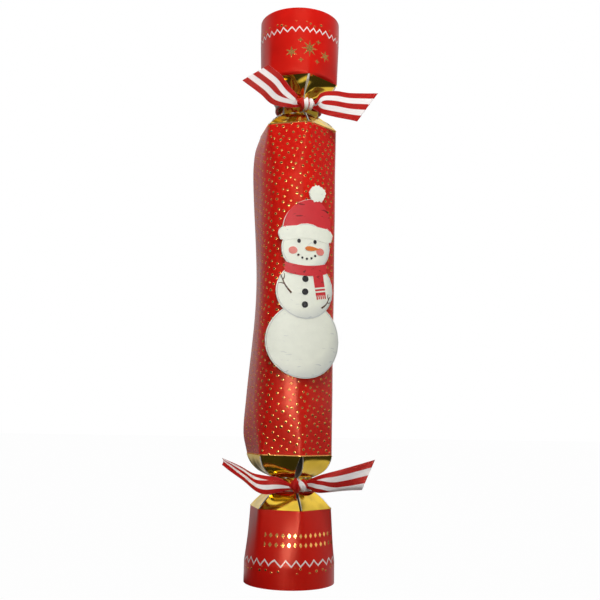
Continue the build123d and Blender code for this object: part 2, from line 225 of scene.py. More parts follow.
# A wrap: depth of its folds, its shift towards the crown, the size, number and turn of each sway of its
# folds, and the part of the ribbon's width that shows
WRAP_FOLD = 0.00074
WRAP_SHIFT = 0.0026
WRAP_SWAYS = [(0.9, 2, 0.0), (0.6, 5, 1.0)]
WRAP_SHOWN = (0.1, 0.52)


def length_value(name, description, millimetres):
    """A length that a user may change, given in millimetres."""
    return FloatProperty(name=name, description=description, default=millimetres * MM, unit="LENGTH",
                         precision=5)


def colour_value(name, description, colour):
    """A colour that a user may change, as linear red, green and blue."""
    return FloatVectorProperty(name=name, description=description, default=colour, subtype="COLOR",
                               size=3, min=0.0, max=1.0)


class CrackerCardSizes(bpy.types.PropertyGroup):
    """Sizes of the card tube and its necks."""

    card: length_value("Card", "Thickness of the folding board", 0.5)
    corner_reach: length_value("Corner reach", "Centre of the tube to a corner", 25.0)
    corner_round: length_value("Corner round", "Radius of the barrel's corners", 5.0)
    front_round: length_value("Front corner round", "Radius of the barrel's front corner", 8.0)
    soft_round: length_value("Soft corner round", "Radius of the soft corner left of the front", 16.0)
    crease_round: length_value("Crease round", "Radius of the corners at a crease", 4.0)
    panel_bulge: length_value("Panel bulge", "How far the barrel's panels belly out", 1.0)
    front_bulge: length_value("Front bulge", "How far the panel left of the front corner bellies out", 2.5)
    lower_rim: length_value("Lower rim", "Radius of the lower crown's mouth", 26.2)
    upper_rim: length_value("Upper rim", "Radius of the upper crown's mouth", 24.9)
    rim_band: length_value("Rim band", "Height of the round band at each mouth", 12.0)
    waist_flat: length_value("Waist", "Centre to the flat of the neck at the ribbon", 11.5)
    waist_band: length_value("Waist band", "Height of the neck under the ribbon", 7.0)
    edge_lift: length_value("Edge lift", "How far the cut edges of a neck panel turn outwards", 0.3)
    slot_gap: length_value("Slot", "Half of the slot between two neck panels", 0.35)
    fold_gap: length_value("Fold gap", "Room at a hinged fold", 0.3)


class CrackerRibbonSizes(bpy.types.PropertyGroup):
    """Sizes of the ribbons."""

    width: length_value("Width", "Width of the flat ribbon", 16.0)
    thickness: length_value("Thickness", "Thickness of the satin", 0.3)
    wrap_height: length_value("Wrap height", "Height of the ribbon gathered round the waist", 4.2)
    wrap_folds: IntProperty(name="Wrap folds", description="Folds across the wrap", default=4, min=1, max=8)


class CrackerFigureSizes(bpy.types.PropertyGroup):
    """Sizes of the raised figure."""

    bend: length_value("Bend", "Radius that the figure is bent to", 40.0)
    layer: length_value("Layer", "Thickness of one printed layer", 0.15)


class CrackerColours(bpy.types.PropertyGroup):
    """Colours of the card, foil, ribbon and figure."""

    red: colour_value("Red card", "Laminated red of the tube", (0.66, 0.0055, 0.0028))
    gold: colour_value("Gold foil", "Foil of the necks", (0.83, 0.55, 0.06))
    stamp: colour_value("Stamped foil", "Stamped dots and ornaments", (0.90, 0.46, 0.13))
    # Painted shade: dark colour of the middle of each stamped dot, standing in for the dark room that the
    # foil mirrors
    stamp_painted_shade: colour_value("Stamp painted shade", "Darker middle of a stamped dot", (0.08, 0.022, 0.006))
    board: colour_value("Board", "Plain inside of the card", (0.82, 0.79, 0.73))
    line: colour_value("Line", "Printed zigzag line", (0.90, 0.82, 0.78))
    ribbon_red: colour_value("Ribbon red", "Red stripes of the satin", (0.45, 0.008, 0.007))
    ribbon_white: colour_value("Ribbon white", "White stripes of the satin", (0.93, 0.89, 0.87))
    snow: colour_value("Snow", "Cream of the figure", (0.92, 0.935, 0.80))
    hat: colour_value("Hat", "Red of the hat and scarf", (0.66, 0.035, 0.042))
    coal: colour_value("Coal", "Buttons and eyes", (0.025, 0.022, 0.022))
    carrot: colour_value("Carrot", "Nose", (0.78, 0.20, 0.03))
    cheek: colour_value("Cheek", "Rosy cheeks", (0.80, 0.24, 0.20))
    twig: colour_value("Twig", "Twig arms", (0.10, 0.045, 0.022))


def card_sizes():
    return bpy.context.scene.cracker_card


def ribbon_sizes():
    return bpy.context.scene.cracker_ribbon


def figure_sizes():
    return bpy.context.scene.cracker_figure


def colour_of(name):
    """A colour with its alpha."""
    return (*getattr(bpy.context.scene.cracker_colours, name), 1.0)


# Geometry helpers


def outward(azimuth):
    """Unit vector from the axis towards an azimuth."""
    angle = math.radians(azimuth)
    return Vector((math.sin(angle), -math.cos(angle), 0.0))


def sideways(azimuth):
    """Unit vector round the axis, towards growing azimuths."""
    return UP.cross(outward(azimuth))


def azimuth_of(place):
    """Azimuth of a place, from -180 to 180."""
    return math.degrees(math.atan2(place.x, -place.y))


def mix(first, second, share):
    return first + (second - first) * share


def limit(value, low=0.0, high=1.0):
    return max(low, min(high, value))


def ease(share):
    """Smooth step from 0 to 1."""
    share = limit(share)
    return share * share * (3.0 - 2.0 * share)


def follow(stations, at):
    """Value at a place of the smooth curve through stations of (place, value)."""
    last = len(stations) - 1
    i = max(index for index in range(last) if index == 0 or stations[index][0] <= at)
    (start, first), (end, second) = stations[i], stations[i + 1]
    before, after = stations[max(i - 1, 0)], stations[min(i + 2, last)]
    span = end - start
    share = (at - start) / span
    slope_in = (second - before[1]) * (span / (end - before[0]))
    slope_out = (after[1] - first) * (span / (after[0] - start))
    square, cube = share ** 2, share ** 3
    return (first * (2 * cube - 3 * square + 1) + slope_in * (cube - 2 * square + share)
            + second * (3 * square - 2 * cube) + slope_out * (cube - square))


def uprights(shape):
    """Edges that climb."""
    return [edge for edge in shape.edges if abs(edge.verts[0].co.z - edge.verts[1].co.z) > 1e-6]


def face_outwards(shape, direction=None):
    """Turns all faces of an open sheet the same way round, away from the axis or along a direction."""
    agreement = 0.0
    for face in shape.faces:
        face.normal_update()
        middle = face.calc_center_median()
        wanted = direction or Vector((middle.x, middle.y, 0.0))
        agreement += face.normal.dot(wanted) * face.calc_area()
    if agreement < 0:
        bmesh.ops.reverse_faces(shape, faces=shape.faces[:])


def map_card(shape):
    """Lays the card out flat in millimetres: along the panels from the front corner, and up."""
    layer = shape.loops.layers.uv.new("card_mm")
    side = card_sizes().corner_reach
    for face in shape.faces:
        panel = math.floor(azimuth_of(face.calc_center_median()) / PANEL_TURN) + 0.5
        for loop in face.loops:
            turn = (azimuth_of(loop.vert.co) - panel * PANEL_TURN + 180.0) % 360.0 - 180.0
            along = side * (panel + math.tan(math.radians(turn)) / math.tan(HALF_TURN) / 2)
            loop[layer].uv = (along / MM, loop.vert.co.z / MM)


def open_tube(radius, low, high, segments, cuts):
    """Upright open tube, cut into rings."""
    shape = bmesh.new()
    bmesh.ops.create_cone(shape, cap_ends=False, segments=segments, radius1=radius, radius2=radius,
                          depth=abs(high - low), matrix=Matrix.Translation(UP * (low + high) / 2))
    bmesh.ops.subdivide_edges(shape, edges=uprights(shape), cuts=cuts, use_grid_fill=True)
    return shape


def add_piece(name, shape, materials, body, wall, nodes=(), offset=-1.0, folds=()):
    """Makes a piece of a shape, gives it a wall, marks its sharp edges and sets it on its body.

    folds are heights at which the card goes on into its neighbour, so that no cut edge shows there.
    """
    mesh = bpy.data.meshes.new(name)
    shape.to_mesh(mesh)
    shape.free()
    for material in materials:
        mesh.materials.append(material)
    piece = bpy.data.objects.new(name, mesh)
    bpy.context.scene.collection.objects.link(piece)
    thicken(piece, wall, offset, len(materials) - 1)
    mesh = piece.data
    for face in mesh.polygons:
        if any(abs(face.center.z - level) < FOLD_REACH for level in folds) and face.material_index:
            face.material_index = len(materials) - 2
    mesh.shade_smooth()
    mesh.set_sharp_from_angle(angle=SHARP_ANGLE)
    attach(piece, body)
    if nodes:
        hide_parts(*nodes)
    return piece


def thicken(piece, wall, offset, inside):
    """Gives a sheet its thickness, with the last material on its inside and its cut edges."""
    solid = piece.modifiers.new("Wall", "SOLIDIFY")
    solid.thickness = wall
    solid.offset = offset
    solid.use_even_offset = offset != 0.0
    solid.material_offset = inside
    solid.material_offset_rim = inside
    seen = piece.evaluated_get(bpy.context.evaluated_depsgraph_get())
    solid_mesh = bpy.data.meshes.new_from_object(seen)
    sheet_mesh = piece.data
    piece.modifiers.remove(solid)
    piece.data = solid_mesh
    bpy.data.meshes.remove(sheet_mesh)
    solid_mesh.name = piece.name


# Shader helpers


class Wire:
    """A value that flows through a shader tree. Reckoning with it adds Math nodes to that tree."""

    def __init__(self, tree, socket):
        self.tree = tree
        self.socket = socket

    def __add__(self, other):
        return maths("ADD", self, other)

    def __sub__(self, other):
        return maths("SUBTRACT", self, other)

    def __rsub__(self, other):
        return maths("SUBTRACT", other, self)

    def __mul__(self, other):
        return maths("MULTIPLY", self, other)

    def __truediv__(self, other):
        return maths("DIVIDE", self, other)

    def __rtruediv__(self, other):
        return maths("DIVIDE", other, self)

    __radd__ = __add__
    __rmul__ = __mul__


class Outputs:
    """Outputs of a node as wires, by name or number."""

    def __init__(self, tree, node):
        self.tree = tree
        self.node = node

    def __getitem__(self, key):
        return Wire(self.tree, self.node.outputs[key])


def fill(sockets, values):
    """Links sockets to wires, or sets plain values on them."""
    for key, value in values.items():
        if isinstance(value, Wire):
            value.tree.links.new(value.socket, sockets[key])
        else:
            sockets[key].default_value = value


def put(tree, kind, sockets=None, **settings):
    """Adds a node with its settings and inputs, and gives its outputs."""
    node = tree.nodes.new(f"ShaderNode{kind}")
    for key, value in settings.items():
        setattr(node, key, value)
    fill(node.inputs, sockets or {})
    return Outputs(tree, node)


def tree_of(values):
    """Tree of the first wire among some values."""
    return next(value.tree for value in values if isinstance(value, Wire))


def maths(operation, *values):
    """Result of a Math node."""
    return put(tree_of(values), "Math", dict(enumerate(values)), operation=operation)[0]


def most(masks):
    """The strongest of several masks."""
    strongest = masks[0]
    for mask in masks[1:]:
        strongest = maths("MAXIMUM", strongest, mask)
    return strongest


def spread(value, low, high, new_low=0.0, new_high=1.0):
    """Maps a value from one range to another, held at the ends."""
    sockets = {"Value": value, "From Min": low, "From Max": high, "To Min": new_low, "To Max": new_high}
    return put(value.tree, "MapRange", sockets, clamp=True)["Result"]


def between(value, low, high, soft=0.15):
    """A mask that is 1 between two levels."""
    return spread(value, low - soft, low + soft) * spread(value, high + soft, high - soft)


def within(share, soft):
    """A mask that is 1 where the share of a shape's reach is below 1."""
    return spread(share, 1.0 + soft, 1.0 - soft)


def swing(value, low=0.0, high=1.0):
    """Maps the usual range of a noise to another range."""
    return spread(value, *NOISE_RANGE, low, high)


def blend(share, first, second):
    """Mixes two colours."""
    tree = tree_of((share, first, second))
    return put(tree, "Mix", {0: share, 6: first, 7: second}, data_type="RGBA", clamp_factor=True)[2]


def split(vector):
    """X, Y and Z of a vector."""
    return put(vector.tree, "SeparateXYZ", {"Vector": vector})


def joined(x, y=0.0, z=0.0):
    """A vector of three values."""
    return put(x.tree, "CombineXYZ", {"X": x, "Y": y, "Z": z})[0]


def distance_of(across, up):
    """Distance of a flat place from the origin."""
    return maths("SQRT", across * across + up * up)


def noise_of(vector, scale, detail=2.0, roughness=0.5):
    """A noise value from 0 to 1."""
    sockets = {"Vector": vector, "Scale": scale, "Detail": detail, "Roughness": roughness}
    return put(vector.tree, "TexNoise", sockets)[0]


def bump(height, distance):
    """Normal of a bumped surface, with the height in metres at a height value of 1."""
    return put(height.tree, "Bump", {"Height": height, "Distance": distance})[0]


def object_place(tree):
    """Object coordinates in millimetres."""
    place = put(tree, "TexCoord")["Object"]
    return put(tree, "VectorMath", {0: place, 1: (1.0 / MM,) * 3}, operation="MULTIPLY")[0]


def card_place(tree, layer="card_mm"):
    """The card's own flat layout in millimetres."""
    return put(tree, "UVMap", uv_map=layer)[0]


def start_material(name):
    """An empty material with its Principled shader. The frame's own materials keep their names."""
    material = bpy.data.materials.new(f"finish_{name}")
    material.use_nodes = True
    tree = material.node_tree
    tree.nodes.clear()
    shader = tree.nodes.new("ShaderNodeBsdfPrincipled")
    put(tree, "OutputMaterial", {"Surface": Wire(tree, shader.outputs[0])})
    return material, tree, shader.inputs


# Effects that several finishes share


EFFECTS = {}
NOISE_RANGE = (0.3, 0.7)

# Shares of the fine grain in the film's relief, and of the fibre in the board's tone
FILM_GRAIN = 0.04
FIBRE_SHARE = 0.4

# Foil dots: turn of their grid, how far they stray from it, range of their sizes, and where the painted
# shade in a dot's middle fades
DOT_TURN = 0.5
DOT_STRAY = 0.45
DOT_SIZES = (0.82, 1.14)
DOT_PAINTED_SHADE = (0.75, 0.4)

# How far a hand-drawn line wavers along and up in millimetres, and how close together its wavers are
WAVER_ALONG = 2.4
WAVER_UP = 1.6
WAVER_SCALE = 0.16

# How sharply a star's rays narrow, and how many times taller than wide a diamond is
RAY_SHARPNESS = 2.2
DIAMOND_TALLNESS = 1.5

# Satin: number of stripes and softness of their edges, how close together the threads are along and across,
# pitch of the weft in millimetres, and its share of the relief
STRIPES = 5
STRIPE_EDGE = 0.08
THREADS_ALONG = 0.35
THREADS_ACROSS = 90.0
WEFT_PITCH = 0.4
WEFT_RELIEF = 0.12

# Foil: scale of its dents and of its creases, how soft the creases are, and their share of the relief
DENT_SCALE = 0.12
CREASE_SCALE = 0.264
CREASE_SOFT = 0.002
CREASE_RELIEF = 0.12

# Brush strokes: how far they sway in millimetres, and the softness of their edges
STROKE_SWAY = 9.0
STROKE_EDGE = 0.03


def effect(name, outputs, **inputs):
    """Keeps a function as an effect. An input without a default is a vector."""
    def keep(make):
        EFFECTS[name] = (make, inputs, outputs)
        return make
    return keep


def build_group(name):
    """Builds the shader group of an effect. Its output Colour is a colour, and the others are values."""
    make, inputs, outputs = EFFECTS[name]
    tree = bpy.data.node_groups.new(name, "ShaderNodeTree")
    for label, default in inputs.items():
        kind = "Vector" if default is None else "Color" if isinstance(default, tuple) else "Float"
        socket = tree.interface.new_socket(label, in_out="INPUT", socket_type=f"NodeSocket{kind}")
        if default is not None:
            socket.default_value = default
    for label in outputs:
        kind = "Color" if label == "Colour" else "Float"
        tree.interface.new_socket(label, in_out="OUTPUT", socket_type=f"NodeSocket{kind}")
    given = Outputs(tree, tree.nodes.new("NodeGroupInput"))
    results = make(*[given[label] for label in inputs])
    fill(tree.nodes.new("NodeGroupOutput").inputs, dict(zip(outputs, results)))


def place_group(tree, name, **sockets):
    """Places a shared effect in a material, building it at its first use, and gives its outputs."""
    if name not in bpy.data.node_groups:
        build_group(name)
    node = tree.nodes.new("ShaderNodeGroup")
    node.node_tree = bpy.data.node_groups[name]
    fill(node.inputs, sockets)
    return Outputs(tree, node)


@effect("Laminate sheen", ["Roughness", "Height", "Painted light"], Place=None)
def laminate_sheen(place):
    """Gloss film on card: slow changes of gloss, faint waves and a fine grain, and a tone that is painted
    shade, darker where the waves dip.
    """
    waves, grain = noise_of(place, scale=0.04, detail=3.0), noise_of(place, scale=2.2)
    return swing(waves, low=0.29, high=0.37), grain * FILM_GRAIN + waves, swing(waves)


@effect("Foil dots", ["Mask", "Relief", "Middle"], Place=None, Spacing=4.1, Radius=0.72, Kept=1.0)
def foil_dots(place, spacing, radius, kept):
    """Scattered stamped dots of uneven size: a mask, a domed relief and a painted shade that darkens the
    middle of each, standing in for the dark room that the foil mirrors.
    """
    turned = put(place.tree, "VectorRotate", {"Vector": place, "Angle": DOT_TURN}, rotation_type="Z_AXIS")[0]
    grid = {"Vector": turned, "Scale": 1.0 / spacing, "Randomness": DOT_STRAY}
    cells = put(place.tree, "TexVoronoi", grid, voronoi_dimensions="2D")
    chance = put(place.tree, "SeparateColor", {"Color": cells["Color"]})
    share = cells["Distance"] * spacing / (radius * spread(chance[1], 0.0, 1.0, *DOT_SIZES))
    shown = maths("LESS_THAN", chance[0], kept)
    dome = maths("SQRT", maths("MAXIMUM", 1.0 - share * share, 0.0))
    return within(share, soft=0.08) * shown, dome * shown, spread(share, *DOT_PAINTED_SHADE) * shown


@effect("Zigzag line", ["Mask"], Place=None, Level=14.0, Height=3.8, Period=4.84, Line=0.525)
def zigzag_line(place, level, height, period, line):
    """Hand-drawn zigzag line round a crown."""
    along, up, _ = split(place)
    waver = noise_of(joined(along), WAVER_SCALE, detail=1.0) - 0.5
    turn = maths("PINGPONG", (waver * WAVER_ALONG + along) / period, 0.5)
    rise = (turn * 2.0 - 0.5) * height
    miss = maths("ABSOLUTE", up - (waver * WAVER_UP + level) - rise)
    return [within(miss / line, soft=0.15)]


@effect("Star stamp", ["Mask"], Place=None, Centre=None, Reach=5.0, Rays=8.0, Waist=0.36)
def star_stamp(place, centre, reach, rays, waist):
    """One stamped star with straight rays round a centre."""
    across, up, _ = split(put(place.tree, "VectorMath", {0: place, 1: centre}, operation="SUBTRACT")[0])
    turn = maths("ARCTAN2", across, up) / math.tau * rays
    ray = 1.0 - maths("PINGPONG", turn, 0.5) * 2.0
    edge = waist + maths("POWER", ray, RAY_SHARPNESS) * (1.0 - waist)
    return [within(distance_of(across, up) / (edge * reach), soft=0.04)]


@effect("Diamond row", ["Mask"], Place=None, Level=26.0, Pitch=4.0, Size=1.6)
def diamond_row(place, level, pitch, size):
    """A row of stamped diamonds."""
    along, up, _ = split(place)
    across = maths("PINGPONG", along / pitch, 0.5) * pitch
    return [within((across * DIAMOND_TALLNESS + maths("ABSOLUTE", up - level)) / size, soft=0.06)]


@effect("Board fibre", ["Colour", "Height", "Roughness"], Place=None, Light=WHITE, Dark=WHITE)
def board_fibre(place, light, dark):
    """Uncoated board or paper: mottled tone and a fibrous grain."""
    mottle = noise_of(place, scale=0.25, detail=4.0, roughness=0.6)
    fibre = noise_of(place, scale=4.0, detail=3.0, roughness=0.7)
    tone = swing(fibre * FIBRE_SHARE + mottle * (1.0 - FIBRE_SHARE))
    return blend(tone, dark, light), fibre, swing(mottle, low=0.6, high=0.85)


@effect("Foil crinkle", ["Height", "Roughness", "Painted light"], Place=None)
def foil_crinkle(place):
    """Creases and soft dents in foiled card, and painted shade that darkens the foil in its dents."""
    dents, grain = noise_of(place, DENT_SCALE, detail=0.5), noise_of(place, scale=1.6)
    off_fold = noise_of(place, CREASE_SCALE, detail=0.0) - 0.5
    crease = maths("SQRT", off_fold * off_fold + CREASE_SOFT)
    # Painted shade: darker in the dents and lighter where the foil rises
    tone = spread(dents, low=0.35, high=0.65)
    return crease * CREASE_RELIEF + dents, swing(grain, low=0.07, high=0.15), tone


@effect("Satin stripe", ["White", "Height", "Roughness", "Painted light"], Place=None)
def satin_stripe(place):
    """Striped satin: the white stripes as a mask, the weave as a height and the lie of its threads, which
    also gives a painted sheen.
    """
    along, across, _ = split(place)
    white = spread(maths("SINE", across * (STRIPES * math.pi)), STRIPE_EDGE, -STRIPE_EDGE)
    threads = noise_of(joined(along * THREADS_ALONG, across * THREADS_ACROSS), scale=1.0, detail=3.0)
    weft = maths("SINE", along * (math.tau / WEFT_PITCH))
    return white, weft * WEFT_RELIEF + threads, swing(threads, low=0.30, high=0.48), swing(threads)


@effect("Brush strokes", ["Mask"], Place=None, Length=9.0, Width=1.8, Amount=0.3)
def loose_strokes(place, length, width, amount):
    """Loose printed brush strokes that run across the figure."""
    across, _, up = split(place)
    sway = noise_of(place, scale=0.09, detail=1.0)
    strokes = noise_of(joined(across / length, 0.0, (sway * STROKE_SWAY + up) / width), scale=1.0)
    edge = 1.0 - amount
    return [spread(strokes, edge, edge + STROKE_EDGE)]


# Finishes


def toned(colour, factor):
    """A colour made darker or lighter."""
    return (*[limit(part * factor) for part in colour[:3]], 1.0)


def tinted(name, factor):
    """A named colour made darker or lighter."""
    return toned(colour_of(name), factor)


def varied(share, name, dark, light):
    """A named colour that varies between a darker and a lighter tone."""
    return blend(share, tinted(name, dark), tinted(name, light))


FILM_TINT = (1.0, 0.45, 0.28, 1.0)
FILM_SHINE = 0.55
SATIN_TINT = (1.0, 0.45, 0.36, 1.0)
SATIN_SHINE = 0.4
PAINT_SHINE = 0.25

# Depth of the relief of each finish, in metres
PRINT_RELIEF = 0.00012
BOARD_RELIEF = 0.00003
FOIL_RELIEF = 0.00028
SATIN_RELIEF = 0.00004
GRAIN_RELIEF = 0.00002

# Lightest and darkest tone of the mottled finishes
BOARD_TONES = (1.06, 0.9)
PRINT_TONES = (1.05, 0.93)
SNOW_TONES = (1.04, 0.95)
MOULDED_TONES = (1.06, 0.94)

# Share of the fibre's roughness, and the roughness that is added to it
BOARD_GLOSS = (1.0, 0.0)
PAINT_GLOSS = (0.3, 0.3)
MOULDED_FIBRE = 0.25
MOULDED_DROP = 0.18

# Stamped foil: how metallic it is, how much smoother than the film, and the film's own waves under it
STAMP_METAL = 0.9
STAMP_GLOSS = -0.18
FILM_WAVES = 0.35

# Foil along the barrel's creases in millimetres: beyond a crease, above the lower one, below the upper one
FOIL_BEYOND = 2.0
LOWER_FOIL = 0.5
UPPER_FOIL = 0.7

# Loose dots of a crown, and the band that they fill, in millimetres from the zigzag towards the rim
CROWN_DOTS = {"Spacing": 3.0, "Radius": 0.68, "Kept": 0.6}
CROWN_BAND = (2.2, 5.2)
CROWN_BAND_SOFT = 0.4
ORNAMENT_RELIEF = 0.4

# Zigzag of each crown in millimetres: its level, the way to the rim, its height and its number of turns
ZIGZAGS = {"lower": (14.0, -1.0, 3.1, 28), "upper": (328.0, 1.0, 2.9, 34)}

# Stars in millimetres: across, up, reach and number of rays
STARS = [
    (0.0, 316.0, 5.4, 8.0), (-11.0, 313.5, 3.6, 6.0), (11.0, 313.5, 3.6, 6.0), (-6.0, 321.0, 1.7, 4.0),
    (6.0, 321.0, 1.7, 4.0), (-5.5, 308.5, 1.7, 4.0), (5.5, 308.5, 1.7, 4.0),
]

# Rows of diamonds in millimetres: their levels, their shape, and where along the card they start and stop
DIAMOND_LEVELS = (28.6, 23.6)
DIAMOND = {"Pitch": 3.3, "Size": 1.45}
DIAMOND_SPAN = (-20.0, 24.0)
DIAMOND_SPAN_SOFT = 0.1


def finish_print(tree, shader, place, lines, stamps, painted_shades, relief):
    """Laminated red card with printed lines, and stamped foil with its relief and with painted shade in the
    middle of each dot.
    """
    film = place_group(tree, "Laminate sheen", Place=place)
    # Painted shade: the red is darker where the film's waves dip and lighter where they rise
    inked = blend(lines, varied(film["Painted light"], "red", dark=0.9, light=1.08), colour_of("line"))
    # Painted shade: the middle of each stamped dot is darkened, standing in for the dark room that the foil
    # mirrors
    foil = blend(painted_shades, colour_of("stamp"), colour_of("stamp_painted_shade"))
    fill(shader, {
        "Base Color": blend(stamps, inked, foil),
        "Metallic": stamps * STAMP_METAL,
        "Roughness": stamps * STAMP_GLOSS + film["Roughness"],
        "Specular IOR Level": FILM_SHINE,
        "Specular Tint": FILM_TINT,
        "Normal": bump(film["Height"] * FILM_WAVES + relief, PRINT_RELIEF),
    })


def barrel_card():
    """Red card of the barrel: scattered foil dots, and foil along both creases."""
    material, tree, shader = start_material("barrel_card")
    place = card_place(tree)
    dots = place_group(tree, "Foil dots", Place=place)
    height = split(place)[1]
    low, high = barrel_bottom / MM, barrel_top / MM
    low_edge = between(height, low - FOIL_BEYOND, low + LOWER_FOIL)
    high_edge = between(height, high - UPPER_FOIL, high + FOIL_BEYOND)
    stamps = most([dots["Mask"], low_edge, high_edge])
    finish_print(tree, shader, place, 0.0, stamps, dots["Middle"], dots["Relief"])
    return material


def crown_card(end, ornament):
    """Red card of a crown: zigzag line, loose dots on its rim side, and stamped ornaments."""
    material, tree, shader = start_material(f"{end}_crown_card")
    place = card_place(tree)
    level, towards_rim, height, turns = ZIGZAGS[end]
    period = PANELS * card_sizes().corner_reach / MM / turns
    zigzag = place_group(tree, "Zigzag line", Place=place, Level=level, Height=height, Period=period)["Mask"]
    dots = place_group(tree, "Foil dots", Place=place, **CROWN_DOTS)
    low, high = sorted(level + towards_rim * reach for reach in CROWN_BAND)
    in_band = between(split(place)[1], low, high, CROWN_BAND_SOFT)
    stamps = most([dots["Mask"] * in_band] + ornament(tree, place))
    relief = most([dots["Relief"] * in_band, stamps * ORNAMENT_RELIEF])
    finish_print(tree, shader, place, zigzag, stamps, dots["Middle"] * in_band, relief)
    return material


def star_ornament(tree, place):
    """Stamped stars on the front of the upper crown."""
    stars = [place_group(tree, "Star stamp", Place=place, Centre=(across, up, 0.0), Reach=reach, Rays=rays)
             for across, up, reach, rays in STARS]
    return [star["Mask"] for star in stars]


def diamond_ornament(tree, place):
    """Two rows of stamped diamonds on the front of the lower crown."""
    front = between(split(place)[0], *DIAMOND_SPAN, DIAMOND_SPAN_SOFT)
    return [place_group(tree, "Diamond row", Place=place, Level=level, **DIAMOND)["Mask"] * front
            for level in DIAMOND_LEVELS]


def fibrous(tree, shader, colour, tones, gloss, relief):
    """Gives a shader a fibrous gloss and grain, and returns its mottled colour between two tones."""
    light, dark = (toned(colour, tone) for tone in tones)
    fibre = place_group(tree, "Board fibre", Place=object_place(tree), Light=light, Dark=dark)
    fill(shader, {"Roughness": fibre["Roughness"] * gloss[0] + gloss[1],
                  "Normal": bump(fibre["Height"], relief)})
    return fibre["Colour"]


def plain_board():
    """Uncoated inside and cut edges of the card."""
    material, tree, shader = start_material("plain_board")
    colour = fibrous(tree, shader, colour_of("board"), BOARD_TONES, BOARD_GLOSS, BOARD_RELIEF)
    fill(shader, {"Base Color": colour})
    return material


def gold_card():
    """Mirror foil of the necks."""
    material, tree, shader = start_material("gold_card")
    crinkle = place_group(tree, "Foil crinkle", Place=object_place(tree))
    # Painted shade: the gold is darker in the foil's dents
    fill(shader, {
        "Base Color": varied(crinkle["Painted light"], "gold", dark=0.88, light=1.1),
        "Metallic": 1.0,
        "Roughness": crinkle["Roughness"],
        "Normal": bump(crinkle["Height"], FOIL_RELIEF),
    })
    return material


def satin():
    """Striped satin of the ribbons."""
    material, tree, shader = start_material("striped_satin")
    weave = place_group(tree, "Satin stripe", Place=card_place(tree, "ribbon"))
    # Painted sheen: both stripes are lighter and darker along the lie of the threads
    red = varied(weave["Painted light"], "ribbon_red", dark=0.8, light=1.25)
    white = varied(weave["Painted light"], "ribbon_white", dark=0.92, light=1.08)
    fill(shader, {
        "Base Color": blend(weave["White"], red, white),
        "Roughness": weave["Roughness"],
        "Specular IOR Level": SATIN_SHINE,
        "Specular Tint": SATIN_TINT,
        "Normal": bump(weave["Height"], SATIN_RELIEF),
    })
    return material


def brush_strokes(tree, length, width, amount):
    """Mask of loose printed strokes."""
    return place_group(tree, "Brush strokes", Place=object_place(tree), Length=length, Width=width,
                       Amount=amount)["Mask"]


def printed_paint(name, colour, ink, *strokes):
    """Printed colour of the figure with loose strokes of an ink, or of a tone of the colour itself."""
    material, tree, shader = start_material(name)
    paper = fibrous(tree, shader, colour_of(colour), PRINT_TONES, PAINT_GLOSS, GRAIN_RELIEF)
    ink = ink if isinstance(ink, tuple) else tinted(colour, ink)
    fill(shader, {"Base Color": blend(brush_strokes(tree, *strokes), paper, ink),
                  "Specular IOR Level": PAINT_SHINE})
    return material


def moulded(name, colour, roughness):
    """Moulded plastic, foam or paper with a mottled tone and a fine grain."""
    material, tree, shader = start_material(name)
    gloss = (MOULDED_FIBRE, roughness - MOULDED_DROP)
    fill(shader, {"Base Color": fibrous(tree, shader, colour, MOULDED_TONES, gloss, GRAIN_RELIEF)})
    return material


def finish_of(name, make, *values):
    """A finish that is made once."""
    return bpy.data.materials.get(f"finish_{name}") or make(*values)


# Card tube


def slack_at(place):
    """How far a place on the barrel stands out, towards the slack corner."""
    turn = abs((azimuth_of(place) - SLACK_AZIMUTH + 180.0) % 360.0 - 180.0)
    if turn >= PANEL_TURN:
        return 0.0
    share = math.sin(math.radians(turn)) / math.sin(math.radians(120.0 - turn))
    return (1.0 - share) * follow(SLACK, limit(place.z, SLACK[0][0], SLACK[-1][0]))


def barrel_shape():
    """Six-sided tube with rounded corners, slack at one corner and panels that belly out."""
    sizes = card_sizes()
    shape = open_tube(sizes.corner_reach, barrel_bottom, barrel_top, segments=144, cuts=99)
    slack_way = outward(SLACK_AZIMUTH)
    corners = {0: sizes.front_round, -1: sizes.soft_round}
    for vert in shape.verts:
        azimuth, level = azimuth_of(vert.co), vert.co.z
        settle = ease(min(level - barrel_bottom, barrel_top - level) / CREASE_REACH)
        corner = corners.get(round(azimuth / PANEL_TURN), sizes.corner_round)
        turn = (azimuth % PANEL_TURN) / (PANEL_TURN / 2) - 1.0
        filled = tube_reach(0.0, sizes.corner_round) - tube_reach(0.0, corner)
        bulge = sizes.front_bulge if -PANEL_TURN < azimuth < 0.0 else sizes.panel_bulge
        dent = noise.noise(vert.co * BARREL_DENTS) * DENT_DEPTH
        wave = mix(filled, bulge, (1.0 - turn ** 2) ** PANEL_BELLY) + dent
        reach = tube_reach(azimuth, mix(sizes.crease_round, corner, settle))
        vert.co = outward(azimuth) * (reach + wave * settle) + UP * level
        vert.co += slack_way * slack_at(vert.co)
    face_outwards(shape)
    map_card(shape)
    return shape


def tube_reach(azimuth, rounding):
    """Distance from the axis to the six-sided tube whose corners have a given radius."""
    flat = card_sizes().corner_reach * math.cos(HALF_TURN)
    turn = abs(math.radians((azimuth + PANEL_TURN / 2) % PANEL_TURN - PANEL_TURN / 2))
    tangent = HALF_TURN - math.atan((flat - rounding) * math.tan(HALF_TURN) / flat)
    if turn >= tangent:
        return flat / math.cos(HALF_TURN - turn)
    centre = (flat - rounding) / math.cos(HALF_TURN)
    return centre * math.cos(turn) + math.sqrt(rounding ** 2 - (centre * math.sin(turn)) ** 2)


